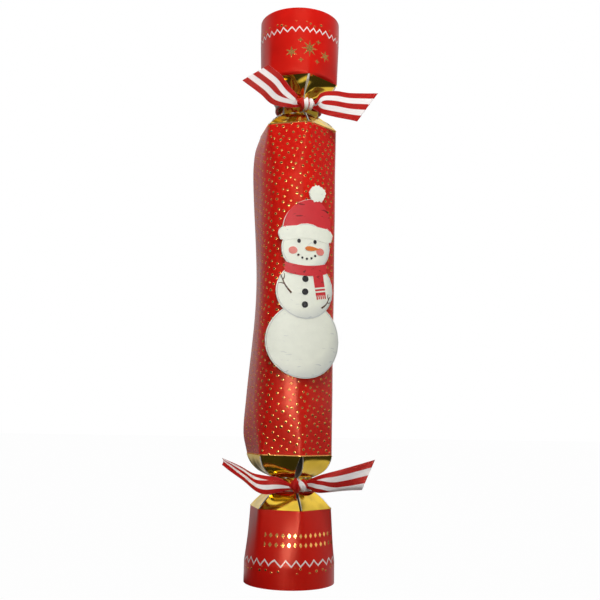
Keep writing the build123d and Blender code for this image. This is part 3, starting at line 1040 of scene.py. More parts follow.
def crown_shape(crease, rim, rim_radius, rounding):
    """Open end of the tube: six flat panels at the crease that turn into a round band at the rim."""
    band_edge = rim + math.copysign(card_sizes().rim_band, crease - rim)
    shape = open_tube(rim_radius, rim, crease, segments=144, cuts=41)
    for vert in shape.verts:
        azimuth = azimuth_of(vert.co)
        share = limit((vert.co.z - crease) / (band_edge - crease))
        dent = noise.noise(vert.co * CROWN_DENTS) * DENT_DEPTH * share
        reach = mix(tube_reach(azimuth, card_sizes().crease_round), rim_radius, share ** rounding) + dent
        vert.co = outward(azimuth) * reach + UP * vert.co.z
    face_outwards(shape)
    map_card(shape)
    return shape


def neck_levels(end):
    """Creases of crown and barrel, the waist's edges on their sides, and the way from crown to barrel."""
    crown, barrel = (lower_crease, barrel_bottom) if end == "lower" else (upper_crease, barrel_top)
    side = math.copysign(1.0, barrel - crown)
    half = card_sizes().waist_band / 2
    return crown, barrel, waists[end] - side * half, waists[end] + side * half, side


def panel_shape(azimuth, heights, manner, seed, gape=NO_GAPE, slack=0.0):
    """One neck panel, bowed outwards between its crease and the waist and gathered towards the waist.

    heights are those of its crease, its waist and its tip, and manner is its row of NECK_SHAPES. gape draws
    its left and right edges back half way up, and slack is the share of the barrel's slack that its crease
    follows.
    """
    sizes = card_sizes()
    root_height, waist_height, tip_height = heights
    bow, crumple, buckle = manner
    flat = sizes.corner_reach * math.cos(HALF_TURN)
    root, waist = Vector((flat, root_height)), Vector((sizes.waist_flat, waist_height))
    slope = (waist - root).length
    rise = waist_height - root_height
    wall = sizes.card * slope / abs(rise)
    bend = slope / (slope + abs(tip_height - waist_height))
    normal = Vector((abs(rise), (root.x - waist.x) * math.copysign(1.0, rise))) / slope
    shape = bmesh.new()
    bmesh.ops.create_grid(shape, x_segments=30, y_segments=34, size=1.0)
    out, across = outward(azimuth), sideways(azimuth)
    for vert in shape.verts:
        side, climb = vert.co.x, (vert.co.y + 1.0) / 2
        share = min(climb / bend, 1.0)
        bulge = 4.0 * share * (1.0 - share)
        place = root.lerp(waist, share) + normal * bow * bulge
        if climb > bend:
            place.y = mix(waist_height, tip_height, (climb - bend) / (1.0 - bend))
        half = (place.x - wall) * math.tan(HALF_TURN) - sizes.slot_gap
        half -= bulge * (gape[0] * max(-side, 0.0) + gape[1] * max(side, 0.0))
        lifted = bulge * sizes.edge_lift * side ** 6
        spot = Vector((side * PUCKERS_ACROSS + seed, share * PUCKERS_UP, seed * PUCKER_SEED))
        uneven = noise.noise(spot)
        pucker = uneven * share ** 1.5 * PUCKER_DEPTH
        gather = math.sin(side * GATHERS_ACROSS + seed) * share ** 3 * (1.0 - side ** 2) * GATHER_DEPTH
        crumpled = (pucker + gather) * crumple * (1.0 if climb <= bend else TIP_CRUMPLE)
        fade = ease(share / BUCKLE_FULL) * (1.0 - ease((share - BUCKLE_FADE) / (1.0 - BUCKLE_FADE)))
        ridge = math.sin(side * BUCKLE_ACROSS + share * BUCKLE_UP + seed) * fade
        place += normal * (lifted + crumpled + ridge * buckle)
        vert.co = out * place.x + across * (side * half) + UP * place.y
        crease_place = out * flat + across * (side * half) + UP * root_height
        vert.co += outward(SLACK_AZIMUTH) * (slack * slack_at(crease_place) * (1.0 - share))
    face_outwards(shape)
    map_card(shape)
    return shape


# Ribbons


def map_ribbon(shape, layout):
    """Writes the flat layout of a ribbon: millimetres along it, and 0 to 1 across it."""
    layer = shape.loops.layers.uv.new("ribbon")
    for face in shape.faces:
        for loop in face.loops:
            loop[layer].uv = layout[loop.vert]


def section(across, valley, pinch, curl):
    """Where a place across a folded ribbon comes to lie, from -1 to 1, and its height there in half widths.

    A valley fold takes in the ribbon round one place, and a part of its lower edge curls under.
    """
    size = max(FOLD_SIZE * pinch, 1e-4)
    share = limit((across - valley) / size, -1.0, 1.0)
    taken = FOLD_TAKEN * size
    place = across - taken * share
    height = -min(size, FOLD_DEEPEST) * (1.0 + math.cos(math.pi * share)) / 2
    low, high, edge = taken - 1.0, 1.0 - taken, curl - 1.0
    if curl > 0.0:
        low = edge + taken - CURL_RADIUS * math.sin(min(curl / CURL_RADIUS, math.pi / 2))
        if across < edge:
            turn = (edge - across) / CURL_RADIUS
            place = edge + taken - CURL_RADIUS * math.sin(turn)
            height -= CURL_RADIUS * (1.0 - math.cos(turn))
    return 2.0 * (place - low) / (high - low) - 1.0, height


def knot_centre(end):
    """Middle of a knot, in front of its wrap."""
    return Vector((0.0, -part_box(f"{end}_ribbon_wrap")[1].x - KNOT_STAND, waists[end]))


def tail_shape(end, hand):
    """Ribbon tail: a flat ribbon that leaves its knot in gathers, opens out and curls to its cut end."""
    side = -1.0 if hand == "left" else 1.0
    sizes = ribbon_sizes()
    seat = knot_centre(end)
    seat.x = side * (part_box(f"{end}_ribbon_knot")[1].x + TAIL_CLEAR)
    stations = TAILS[f"{end}_{hand}"]
    (_, _, start_rise), start_width, start_cup = stations[0]
    hidden_width = tuple(part * TAIL_START_WIDTH for part in start_width)
    hidden = ((TAIL_START, 0.0, start_rise), hidden_width, start_cup)
    places, widths, cups, travelled = [], [], [], 0.0
    for (out, forward, rise), (w_out, w_forward, w_rise), cup in [hidden] + stations:
        centre = seat + Vector((side * out, -forward, rise)) * MM
        if places:
            travelled += (centre - places[-1][1]).length
        places.append((travelled, centre))
        widths.append((travelled, Vector((side * w_out, -w_forward, w_rise)) * MM))
        cups.append((travelled, cup * MM))
    shape = bmesh.new()
    bmesh.ops.create_grid(shape, x_segments=32, y_segments=80, size=1.0)
    layout = {}
    step = travelled / 200
    seed = side * HAND_SEED + waists[end] * END_SEED
    valley, grip, closed, opened, curl, curl_from, curl_to = TAIL_FOLDS[f"{end}_{hand}"]
    for vert in shape.verts:
        across, at = vert.co.x, (vert.co.y + 1.0) / 2 * travelled
        along = at / MM
        centre, width = follow(places, at), follow(widths, at)
        ahead = follow(places, min(at + step, travelled)) - follow(places, max(at - step, 0.0))
        face = ahead.normalized().cross(width).normalized() * side
        gripped = mix(grip, 1.0, ease((along - GRIP_HOLDS) / GRIP_FADES))
        pinch = gripped * (1.0 - ease((along - closed) / (opened - closed)))
        curled = curl * ease((along - curl_from) / (curl_to - curl_from))
        place, height = section(across, valley, pinch, curled)
        ripple = noise.noise(Vector((across * RIPPLES_ACROSS, at * RIPPLES_ALONG, seed))) * TAIL_RIPPLE
        height = height * sizes.width / 2 + follow(cups, at) * (1.0 - across ** 2) + ripple
        vert.co = centre + width * (place / 2) + face * height
        layout[vert] = (along, (across + 1.0) / 2)
    face_outwards(shape, FRONT)
    map_ribbon(shape, layout)
    return shape, travelled


def wrap_shape(end):
    """Ribbon gathered round the waist, in folds that run round it."""
    sizes = ribbon_sizes()
    height = sizes.wrap_height
    centre = waists[end] - neck_levels(end)[4] * WRAP_SHIFT
    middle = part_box(f"{end}_ribbon_wrap")[1].x - WRAP_FOLD
    shape = open_tube(middle, centre - height / 2, centre + height / 2, segments=120, cuts=43)
    layout = {}
    for vert in shape.verts:
        azimuth = math.radians(azimuth_of(vert.co))
        share = (vert.co.z - centre) / height + 0.5
        sway = sum(size * math.sin(number * azimuth + turn) for size, number, turn in WRAP_SWAYS)
        fold = math.sin(math.tau * sizes.wrap_folds * share + sway) * WRAP_FOLD
        vert.co = Vector((vert.co.x, vert.co.y, 0.0)).normalized() * (middle + fold) + UP * vert.co.z
        layout[vert] = (azimuth * middle / MM, mix(*WRAP_SHOWN, share))
    face_outwards(shape)
    map_ribbon(shape, layout)
    return shape, math.tau * middle


def knot_shape(end):
    """Band of the knot: it comes up behind, goes over the front and down behind again."""
    low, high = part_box(f"{end}_ribbon_knot")
    half_width, half_height = (high.x - low.x) / 2, (high.z - low.z) / 2
    centre = knot_centre(end)
    half_depth = centre.y - low.y - KNOT_ROOM
    shape = bmesh.new()
    bmesh.ops.create_grid(shape, x_segments=30, y_segments=48, size=1.0)
    layout = {}
    length = (half_depth + half_height) * KNOT_SWEEP
    bands, slant, valley, pinch = KNOT_BANDS[end]
    for vert in shape.verts:
        across, turn = vert.co.x, vert.co.y * KNOT_SWEEP
        rise = math.sin(turn)
        shown = follow(bands, (across + 1.0) / 2) + slant * rise
        layout[vert] = ((vert.co.y + 1.0) * length / 2 / MM, max(shown, bands[0][1]))
        narrow = mix(1.0, KNOT_NARROW, rise ** 2)
        lies, height = section(across, valley + KNOT_LEAN * rise, pinch, 0.0)
        ripple = math.sin(across * KNOT_RIPPLES + math.cos(turn) * KNOT_SWAY) * KNOT_RIPPLE
        fold = ripple - KNOT_EDGE * across ** 4 + height * KNOT_VALLEY
        round_out = Vector((0.0, -math.cos(turn), rise))
        place = Vector((0.0, round_out.y * half_depth, rise * half_height)) + round_out * (fold - KNOT_SINK)
        vert.co = centre + place + Vector((lies * half_width * narrow, 0.0, 0.0))
    face_outwards(shape, FRONT)
    map_ribbon(shape, layout)
    return shape, length


# Raised figure


# Figure in millimetres, across and up: height and radius of its balls, and the details printed on it
FIGURE_BALLS = {"base": (137.5, 21.95), "middle": (166.5, 16.95), "head": (191.5, 14.45)}
BALL_LIFT = 0.03
BALL_STEP = 0.2
HAT_CORNERS = [(-14.0, 200.0), (14.0, 200.0), (6.0, 221.0)]
HAT_LEFT_BOW = 7.0
HAT_RIGHT_BOW = 4.2
BOBBLE = {"x": 6.0, "z": 224.5, "radius": 5.0, "bumps": 15, "bump_height": 0.7, "seed": 0.4}
BRIM = {"x": 0.0, "z": 0.0, "radius": 4.2, "bumps": 34, "bump_height": 0.9, "seed": 1.7}
BRIM_HEIGHT = 200.0
BRIM_REACH = 12.0
BRIM_ARCH = 1.2
SCARF_HEIGHT = 180.0
SCARF_REACH = 12.6
SCARF_HALF = 3.0
SCARF_DROOP = 2.2
SCARF_END = (8.0, 170.5)
SCARF_END_WIDTH = 6.4
SCARF_END_LENGTH = 15.0
SCARF_END_DROP = -1.0
SCARF_END_TILT = math.radians(-10.0)
FRINGE_START = -2.6
FRINGE_STEP = 1.3
FRINGE_WIDTH = 0.8
FRINGE_DROP = 7.6
FRINGE_LENGTHS = (2.6, 2.3, 2.6, 2.3, 2.6)
STRIPE_HEIGHT = 0.9
STRIPE_DROPS = (2.4, 4.4)
BUTTON_HEIGHTS = (173.0, 165.5, 158.0)
BUTTON_ACROSS = -0.6
BUTTON_RADIUS = 1.9
EYE = (4.8, 195.2, 1.25, 0.85)
CHEEK = (8.16, 189.6, 2.2, 1.15)
MOUTH_CENTRE = 191.8
MOUTH_RADIUS = 7.0
MOUTH_ANGLES = (-46, -23, 0, 23, 46)
MOUTH_DOT = 0.7
NOSE_CENTRE = (3.4, 191.0)
NOSE_HALF = (4.6, 1.9)
NOSE_TIP = 0.25
TWIGS = {
    "left": ([(-8.5, 164.5), (-12.0, 169.0), (-14.6, 175.0)], 1.1),
    "left_finger_1": ([(-12.4, 169.8), (-14.4, 170.4), (-15.9, 170.2)], 0.7),
    "left_finger_2": ([(-13.4, 172.0), (-12.6, 174.0), (-12.6, 176.0)], 0.7),
    "right": ([(9.6, 156.5), (12.6, 159.0), (15.0, 163.6)], 1.1),
    "right_finger_1": ([(13.2, 160.0), (14.6, 160.0), (15.8, 160.6)], 0.7),
    "right_finger_2": ([(14.2, 162.0), (13.6, 163.6), (13.8, 165.2)], 0.7),
}

# Turn of the brim's arch in radians for each metre across, and share of a twig's width at its tip
BRIM_BEND = 150.0
TWIG_TIP = 0.4

# Ink of the balls, and the length, width and amount of its strokes
SNOW_INK = (0.42, 0.44, 0.46, 1.0)
SNOW_STROKES = (7.0, 1.3, 0.34)

# Range of the shade over which the strokes grow, and their strength at both ends of it
SNOW_STROKE_GROWTH = (0.0, 0.3, 0.3, 0.7)

# A ball's shade: middle of the light across and up, where the shade starts and is full, all in radii, and
# its depth. Then the drawn edge: how far in from the rim it lies in millimetres, its softness and its ink
SNOW_LIGHT = (-0.22, 0.3)
SNOW_SHADE = (0.95, 1.36)
SNOW_SHADE_DEPTH = 0.5
SNOW_EDGE = (0.75, 0.45)
SNOW_EDGE_SOFT = 0.12
SNOW_EDGE_INK = 0.75

# Other printed colours: colour, ink or tone of it, and the length, width and amount of its strokes
PRINTS = {
    "hat_print": ("hat", 0.28, 10.0, 2.2, 0.36),
    "fur_print": ("snow", (0.5, 0.5, 0.5, 1.0), 2.5, 1.2, 0.3),
    "scarf_print": ("hat", 0.3, 3.0, 1.4, 0.36),
    "coal_print": ("coal", (0.12, 0.12, 0.13, 1.0), 1.5, 0.8, 0.4),
    "carrot_print": ("carrot", 0.5, 0.8, 2.5, 0.38),
    "cheek_print": ("cheek", 1.2, 2.0, 1.2, 0.4),
    "twig_print": ("twig", 0.5, 1.2, 0.6, 0.42),
}

# Printed details: finish, and how far they lie off the figure's card in millimetres
DETAILS = {
    "hat": ("hat_print", 0.30),
    "brim": ("fur_print", 0.62),
    "bobble": ("fur_print", 0.50),
    "scarf_end": ("scarf_print", 0.45),
    "fringe": ("scarf_print", 0.47),
    "scarf_stripe": ("fur_print", 0.62),
    "twig": ("twig_print", 0.45),
    "scarf": ("scarf_print", 0.50),
    "button": ("coal_print", 0.45),
    "eye": ("coal_print", 0.64),
    "cheek": ("cheek_print", 0.62),
    "mouth": ("coal_print", 0.64),
    "nose": ("carrot_print", 0.66),
}

# Width of the upright strips that a layer is cut into before it is bent
STRIP = 0.0015


def bend_to_figure(shape, lift):
    """Cuts a flat shape into upright strips and bends it round the figure's card, a little off it."""
    bend = figure_sizes().bend
    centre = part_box("snowman_figure")[0].y + bend
    low = min(vert.co.x for vert in shape.verts)
    high = max(vert.co.x for vert in shape.verts)
    cuts = max(int((high - low) / STRIP), 1)
    for i in range(1, cuts):
        everything = shape.verts[:] + shape.edges[:] + shape.faces[:]
        cut = (mix(low, high, i / cuts), 0.0, 0.0)
        bmesh.ops.bisect_plane(shape, geom=everything, dist=1e-7, plane_co=cut, plane_no=(1.0, 0.0, 0.0))
    for vert in shape.verts:
        vert.co.y = centre - math.sqrt((bend + lift) ** 2 - vert.co.x ** 2)
    face_outwards(shape, FRONT)


def flat_disc(x, z, radius, stretch=1.0, bumps=0, bump_height=0.0, seed=0.0):
    """A flat disc that faces the front, in millimetres, with an even or a fluffy edge."""
    shape = bmesh.new()
    bmesh.ops.create_circle(shape, cap_ends=True, segments=max(24, bumps * 6), radius=radius * MM,
                            matrix=FACING)
    for vert in shape.verts:
        angle = math.atan2(vert.co.z, vert.co.x)
        puff = abs(math.sin(angle * bumps / 2 + seed)) if bumps else 0.0
        wobble = noise.noise(Vector((math.cos(angle) * 2, math.sin(angle) * 2, seed))) if bumps else 0.0
        grow = 1.0 + (puff - 0.6 + wobble) * bump_height / radius
        vert.co = Vector((vert.co.x * grow * stretch + x * MM, 0.0, vert.co.z * grow + z * MM))
    return shape


def flat_panel(matrix):
    """A square that faces the front, placed by a matrix."""
    shape = bmesh.new()
    bmesh.ops.create_grid(shape, x_segments=1, y_segments=1, size=1.0, matrix=matrix @ FACING)
    return shape


def hat_shape():
    """Floppy hat: a triangle whose two upper sides bow outwards to a peak on one side."""
    left, right, peak = [Vector((x * MM, 0.0, z * MM)) for x, z in HAT_CORNERS]
    shape = bmesh.new()
    shape.faces.new([shape.verts.new(corner) for corner in (left, right, peak)])
    bmesh.ops.bisect_edges(shape, edges=uprights(shape), cuts=18)
    for start, end, bow in ((left, peak, HAT_LEFT_BOW), (peak, right, HAT_RIGHT_BOW)):
        span = end - start
        out = Vector((-span.z, 0.0, span.x)).normalized()
        for vert in shape.verts:
            share = (vert.co - start).dot(span) / span.length_squared
            if 1e-4 < share < 1 - 1e-4 and abs((vert.co - start).dot(out)) < 1e-7:
                vert.co += out * (bow * MM * 4.0 * share * (1.0 - share))
    return shape


def brim_shape():
    """Fluffy band of the hat."""
    shape = flat_disc(**BRIM)
    for vert in shape.verts:
        vert.co.x += math.copysign(BRIM_REACH * MM, vert.co.x) if abs(vert.co.x) > 1e-6 else 0.0
        vert.co.z += (BRIM_HEIGHT + BRIM_ARCH * math.cos(vert.co.x * BRIM_BEND)) * MM
    return shape


def scarf_shape():
    """Band of the scarf."""
    size = Matrix.Diagonal((SCARF_REACH * MM, 1.0, SCARF_HALF * MM, 1.0))
    return flat_panel(Matrix.Translation(UP * (SCARF_HEIGHT * MM)) @ size)


def scarf_strip(along, width, length, drop):
    """Upright strip on the hanging end of the scarf, along it and down from its middle in millimetres."""
    across, up = SCARF_END
    hanging = Matrix.Translation((across * MM, 0.0, up * MM)) @ Matrix.Rotation(SCARF_END_TILT, 4, "Y")
    place = hanging @ Matrix.Translation((along * MM, 0.0, -drop * MM))
    return flat_panel(place @ Matrix.Diagonal((width * MM / 2, 1.0, length * MM / 2, 1.0)))


def twig_shape(points, width):
    """Bare twig that follows a few points and thins out towards its tip."""
    path = [(i / (len(points) - 1), Vector((x * MM, 0.0, z * MM))) for i, (x, z) in enumerate(points)]
    shape = bmesh.new()
    bmesh.ops.create_grid(shape, x_segments=1, y_segments=10, size=1.0)
    for vert in shape.verts:
        share = (vert.co.y + 1.0) / 2
        ahead = follow(path, min(share + 0.01, 1.0)) - follow(path, max(share - 0.01, 0.0))
        beside = Vector((ahead.z, 0.0, -ahead.x)).normalized()
        vert.co = follow(path, share) + beside * (vert.co.x * width * MM / 2 * mix(1.0, TWIG_TIP, share))
    return shape


def nose_shape():
    """Carrot nose that points to one side."""
    shape = bmesh.new()
    bmesh.ops.create_circle(shape, cap_ends=True, segments=32, radius=1.0, matrix=FACING)
    for vert in shape.verts:
        taper = mix(1.0, NOSE_TIP, limit((vert.co.x + 1.0) / 2) ** 1.2)
        across = NOSE_CENTRE[0] + vert.co.x * NOSE_HALF[0]
        up = NOSE_CENTRE[1] + vert.co.z * NOSE_HALF[1] * taper
        vert.co = Vector((across * MM, 0.0, up * MM))
    return shape


def add_layer(name, shape, material, lift, droop=0.0):
    """Adds one layer of the figure. Its middle may droop, once it is cut into strips."""
    bend_to_figure(shape, lift * MM)
    for vert in shape.verts:
        vert.co.z -= droop * MM * (1.0 - (vert.co.x / (SCARF_REACH * MM)) ** 2)
    board = finish_of("plain_board", plain_board)
    add_piece(name, shape, [material, board], "barrel", figure_sizes().layer, offset=1.0)


def add_detail(kind, shape, label="", droop=0.0):
    """Adds a printed detail of the figure."""
    finish, lift = DETAILS[kind]
    material = finish_of(finish, printed_paint, finish, *PRINTS[finish])
    add_layer(f"figure_{kind}{label}", shape, material, lift, droop)


def make_figure():
    """Layers of the snowman: its balls, then the hat, the scarf, the twigs, the buttons and the face."""
    for i, (part, (height, radius)) in enumerate(FIGURE_BALLS.items()):
        snow = snow_paint(f"snow_{part}", height, radius)
        add_layer(f"figure_{part}", flat_disc(0.0, height, radius), snow, BALL_LIFT + BALL_STEP * i)
    add_detail("hat", hat_shape())
    add_detail("brim", brim_shape())
    add_detail("bobble", flat_disc(**BOBBLE))
    add_detail("scarf_end", scarf_strip(0.0, SCARF_END_WIDTH, SCARF_END_LENGTH, SCARF_END_DROP))
    for i, length in enumerate(FRINGE_LENGTHS):
        fringe = scarf_strip(FRINGE_START + FRINGE_STEP * i, FRINGE_WIDTH, length, FRINGE_DROP)
        add_detail("fringe", fringe, f"_{i + 1}")
    for i, drop in enumerate(STRIPE_DROPS):
        add_detail("scarf_stripe", scarf_strip(0.0, SCARF_END_WIDTH, STRIPE_HEIGHT, drop), f"_{i + 1}")
    for name, (points, width) in TWIGS.items():
        add_detail("twig", twig_shape(points, width), f"_{name}")
    add_detail("scarf", scarf_shape(), droop=SCARF_DROOP)
    for i, height in enumerate(BUTTON_HEIGHTS):
        add_detail("button", flat_disc(BUTTON_ACROSS, height, BUTTON_RADIUS), f"_{i + 1}")
    for i, way in enumerate((-1.0, 1.0)):
        for kind, (across, *rest) in (("eye", EYE), ("cheek", CHEEK)):
            add_detail(kind, flat_disc(way * across, *rest), f"_{i + 1}")
    for i, angle in enumerate(MOUTH_ANGLES):
        x = MOUTH_RADIUS * math.sin(math.radians(angle))
        z = MOUTH_CENTRE - MOUTH_RADIUS * math.cos(math.radians(angle))
        add_detail("mouth", flat_disc(x, z, MOUTH_DOT), f"_{i + 1}")
    add_detail("nose", nose_shape())


def snow_paint(name, height, radius):
    """Cream ball with a cool shade on its lower right and a thin drawn edge."""
    material, tree, shader = start_material(name)
    x, _, z = split(object_place(tree))
    across, up = (radius * part for part in SNOW_LIGHT)
    shade = spread(distance_of(x - across, z - (height + up)), *[radius * part for part in SNOW_SHADE])
    paper = fibrous(tree, shader, colour_of("snow"), SNOW_TONES, PAINT_GLOSS, GRAIN_RELIEF)
    shaded = blend(shade * SNOW_SHADE_DEPTH, paper, SNOW_INK)
    edge = between(distance_of(x, z - height), *[radius - part for part in SNOW_EDGE], SNOW_EDGE_SOFT)
    drawn = brush_strokes(tree, *SNOW_STROKES) * spread(shade, *SNOW_STROKE_GROWTH)
    fill(shader, {"Base Color": blend(most([drawn, edge * SNOW_EDGE_INK]), shaded, SNOW_INK),
                  "Specular IOR Level": PAINT_SHINE})
    return material


# Inside and carried-over pieces


INSIDE_FINISHES = {
    "seam_board": ((0.80, 0.77, 0.71), 0.75, ["glue_seam"]),
    "figure_board": ((0.84, 0.82, 0.74), 0.6, ["snowman_figure"]),
    "foam": ((0.86, 0.86, 0.83), 0.9, ["figure_foam_pads"]),
    "grey_snap_card": ((0.44, 0.38, 0.29), 0.8, ["snap_strip_upper", "snap_strip_lower"]),
    "sleeve_paper": ((0.84, 0.82, 0.78), 0.7, ["snap_sleeve"]),
    "friction_patch": ((0.09, 0.08, 0.08), 0.9, ["snap_charge"]),
    "bottle_plastic": ((0.80, 0.76, 0.68), 0.3, ["lower_bottle", "upper_bottle"]),
    "gel": ((0.78, 0.45, 0.14), 0.28, ["lower_gel", "upper_gel"]),
    "cap_plastic": ((0.82, 0.82, 0.79), 0.42, ["lower_cap", "upper_cap"]),
    "tissue": ((0.62, 0.012, 0.02), 0.8, ["paper_crown_roll"]),
    "motto_paper": ((0.86, 0.85, 0.80), 0.75, ["motto_slip"]),
}


def dress_inside():
    """Gives each carried-over node its finish."""
    for name, (colour, roughness, nodes) in INSIDE_FINISHES.items():
        material = finish_of(name, moulded, name, colour, roughness)
        for node in nodes:
            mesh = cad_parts[node].data
            mesh.materials.clear()
            mesh.materials.append(material)


# Stage


CAMERA_PLACE = Vector((-0.11742, -0.46207, 0.0915))
CAMERA_AZIMUTH = -14.661
CAMERA_PITCH = 0.1521
CAMERA_ROLL = 0.0196
CAMERA_LENS = 47.48
CAMERA_SENSOR = 36.0
CAMERA_NEAR = 0.01


def add_camera():
    """Camera at the photograph's place."""
    towards = outward(CAMERA_AZIMUTH)
    ahead = -towards * math.cos(CAMERA_PITCH) + UP * math.sin(CAMERA_PITCH)
    right = sideways(CAMERA_AZIMUTH)
    over = right.cross(ahead)
    turned_right = right * math.cos(CAMERA_ROLL) + over * math.sin(CAMERA_ROLL)
    turned_over = over * math.cos(CAMERA_ROLL) - right * math.sin(CAMERA_ROLL)
    lens = bpy.data.cameras.new("camera")
    lens.lens = CAMERA_LENS
    lens.sensor_width = CAMERA_SENSOR
    lens.clip_start = CAMERA_NEAR
    camera = bpy.data.objects.new("camera", lens)
    camera.matrix_world = Matrix.Translation(CAMERA_PLACE) @ Matrix(
        (turned_right, turned_over, -ahead)).transposed().to_4x4()
    bpy.context.scene.collection.objects.link(camera)
    bpy.context.scene.camera = camera


# Lamps: place, target, size, watts, whether the soft light and the glints show them, and the angle of their
# fan in degrees
LAMPS = {
    "key": ((-0.05, -0.45, 0.75), (0.0, 0.0, 0.22), (0.4, 0.3), 3.3, True, False, 180.0),
    "front": ((-0.15, -0.9, 0.35), (0.0, 0.0, 0.26), (0.4, 0.4), 0.25, True, False, 44.0),
    "glint": ((-0.4, -0.9, 0.2), (0.0, 0.0, 0.14), (0.3, 0.25), 0.25, False, True, 32.0),
    "right": ((0.7, 0.35, 0.5), (0.0, 0.0, 0.18), (0.3, 0.6), 0.4, True, False, 180.0),
}


def add_lamp(name, place, target, size, watts, soft, glint, fan):
    """Lamp that fans out towards a target, seen in the soft light or in the glints."""
    lamp = bpy.data.lights.new(name, "AREA")
    lamp.shape = "RECTANGLE"
    lamp.size, lamp.size_y = size
    lamp.energy = watts
    lamp.spread = math.radians(fan)
    holder = bpy.data.objects.new(name, lamp)
    holder.location = place
    holder.visible_camera = False
    holder.visible_diffuse = soft
    holder.visible_glossy = glint
    holder.rotation_euler = (Vector(target) - Vector(place)).to_track_quat("-Z", "Y").to_euler()
    bpy.context.scene.collection.objects.link(holder)


# Plain level of light all round, and the bright parts of the studio as the foil mirrors it: on each axis the
# range that a part spreads over, and its brightness at both ends of the range
AMBIENT = 0.2
STUDIO = {
    "behind": [(1, 0.05, 0.5, 0.0, 1.0), (2, 0.34595, 0.4, 0.7, 0.8)],
    "above": [(2, 0.54, 0.7, 0.0, 1.0)],
    "ahead": [(1, 0.0, -0.4, 0.0, 1.0), (2, 0.5, 0.42, 0.04, 0.28)],
    "right": [(0, 0.3, 0.8, 0.0, 1.0), (2, 0.3, 0.1, 0.3, 1.0)],
}


def add_world():
    """White studio: white behind and above, dim towards the room, and a plain level of light all round."""
    world = bpy.data.worlds.new("studio")
    bpy.context.scene.world = world
    world.use_nodes = True
    tree = world.node_tree
    tree.nodes.clear()
    path = put(tree, "LightPath")
    way = split(put(tree, "TexCoord")["Generated"])
    parts = [math.prod(spread(way[axis], *span) for axis, *span in spans) for spans in STUDIO.values()]
    bounced = most([path["Is Glossy Ray"], path["Is Transmission Ray"]])
    lit = (most(parts) - AMBIENT) * bounced + AMBIENT
    white = put(tree, "Background", {"Color": WHITE, "Strength": most([path["Is Camera Ray"], lit])})[0]
    put(tree, "OutputWorld", {"Surface": white})


# Bright parts of the floor, as the foil mirrors it: x, y, radius and brightness of each patch, the width of
# its soft edge, and the range in y of each band with its brightness at both ends
FLOOR_PATCHES = [(0.08, -0.02, 0.09, 0.7), (-0.035, 0.06, 0.055, 0.9), (-0.09, 0.13, 0.07, 0.5)]
PATCH_EDGE = 0.03
FLOOR_BANDS = [(-0.2, -0.3, 0.0, 1.0), (0.2, 0.3, 0.0, 0.5)]
FLOOR_DARK = (0.04, 0.04, 0.04, 1.0)
FLOOR_BRIGHT = (0.85, 0.85, 0.85, 1.0)
FLOOR_MATTE = (0.2, 0.2, 0.2, 1.0)
FLOOR_GLOW = 0.985
FLOOR_REACH = 4.0


def add_floor():
    """Pale floor that goes to white and keeps a soft shadow. In the foil's reflections it glows, dark with
    bright patches and bands, as painted light.
    """
    shape = bmesh.new()
    bmesh.ops.create_grid(shape, x_segments=1, y_segments=1, size=FLOOR_REACH)
    mesh = bpy.data.meshes.new("floor")
    shape.to_mesh(mesh)
    shape.free()
    floor = bpy.data.objects.new("floor", mesh)
    bpy.context.scene.collection.objects.link(floor)
    material = bpy.data.materials.new("pale_floor")
    material.use_nodes = True
    tree = material.node_tree
    tree.nodes.clear()
    x_axis, y_axis, _ = split(put(tree, "TexCoord")["Object"])
    path = put(tree, "LightPath")
    place = joined(x_axis, y_axis)
    bright = [spread(y_axis, *band) for band in FLOOR_BANDS]
    for x, y, reach, level in FLOOR_PATCHES:
        away = put(tree, "VectorMath", {0: place, 1: (x, y, 0.0)}, operation="DISTANCE")["Value"]
        bright.append(spread(away, reach, reach - PATCH_EDGE, 0.0, level))
    # Painted reflection: in reflections the floor glows with bright patches and bands over a dark floor
    shown = blend(path["Is Camera Ray"], blend(most(bright), FLOOR_DARK, FLOOR_BRIGHT), WHITE)
    matte = put(tree, "BsdfDiffuse", {"Color": FLOOR_MATTE})[0]
    glow = put(tree, "Emission", {"Color": shown, "Strength": 1.0})[0]
    share = most([path["Is Camera Ray"], path["Is Glossy Ray"]]) * FLOOR_GLOW
    put(tree, "OutputMaterial", {"Surface": put(tree, "MixShader", {0: share, 1: matte, 2: glow})[0]})
    mesh.materials.append(material)


# Operators


class CRACKER_OT_barrel(bpy.types.Operator):
    """Make the barrel of the card tube"""

    bl_idname = "cracker.make_barrel"
    bl_label = "Barrel"

    def execute(self, context):
        finishes = [finish_of("barrel_card", barrel_card), finish_of("gold_card", gold_card),
                    finish_of("plain_board", plain_board)]
        add_piece("barrel_tube", barrel_shape(), finishes, "barrel", card_sizes().card,
                  nodes=["barrel"], folds=(barrel_bottom, barrel_top))
        return {"FINISHED"}


class CRACKER_OT_crowns(bpy.types.Operator):
    """Make the two open ends of the card tube"""

    bl_idname = "cracker.make_crowns"
    bl_label = "Crowns"

    def execute(self, context):
        sizes = card_sizes()
        gold, inside = finish_of("gold_card", gold_card), finish_of("plain_board", plain_board)
        rows = [("lower", lower_crease, 0.0, sizes.lower_rim, diamond_ornament),
                ("upper", upper_crease, cracker_top, sizes.upper_rim, star_ornament)]
        for end, crease, rim, rim_radius, ornament in rows:
            outside = finish_of(f"{end}_crown_card", crown_card, end, ornament)
            shape = crown_shape(crease, rim, rim_radius, CROWN_ROUNDINGS[end])
            add_piece(f"{end}_crown_end", shape, [outside, gold, inside], f"{end}_end",
                      sizes.card, nodes=[f"{end}_crown"], folds=(crease,))
        return {"FINISHED"}


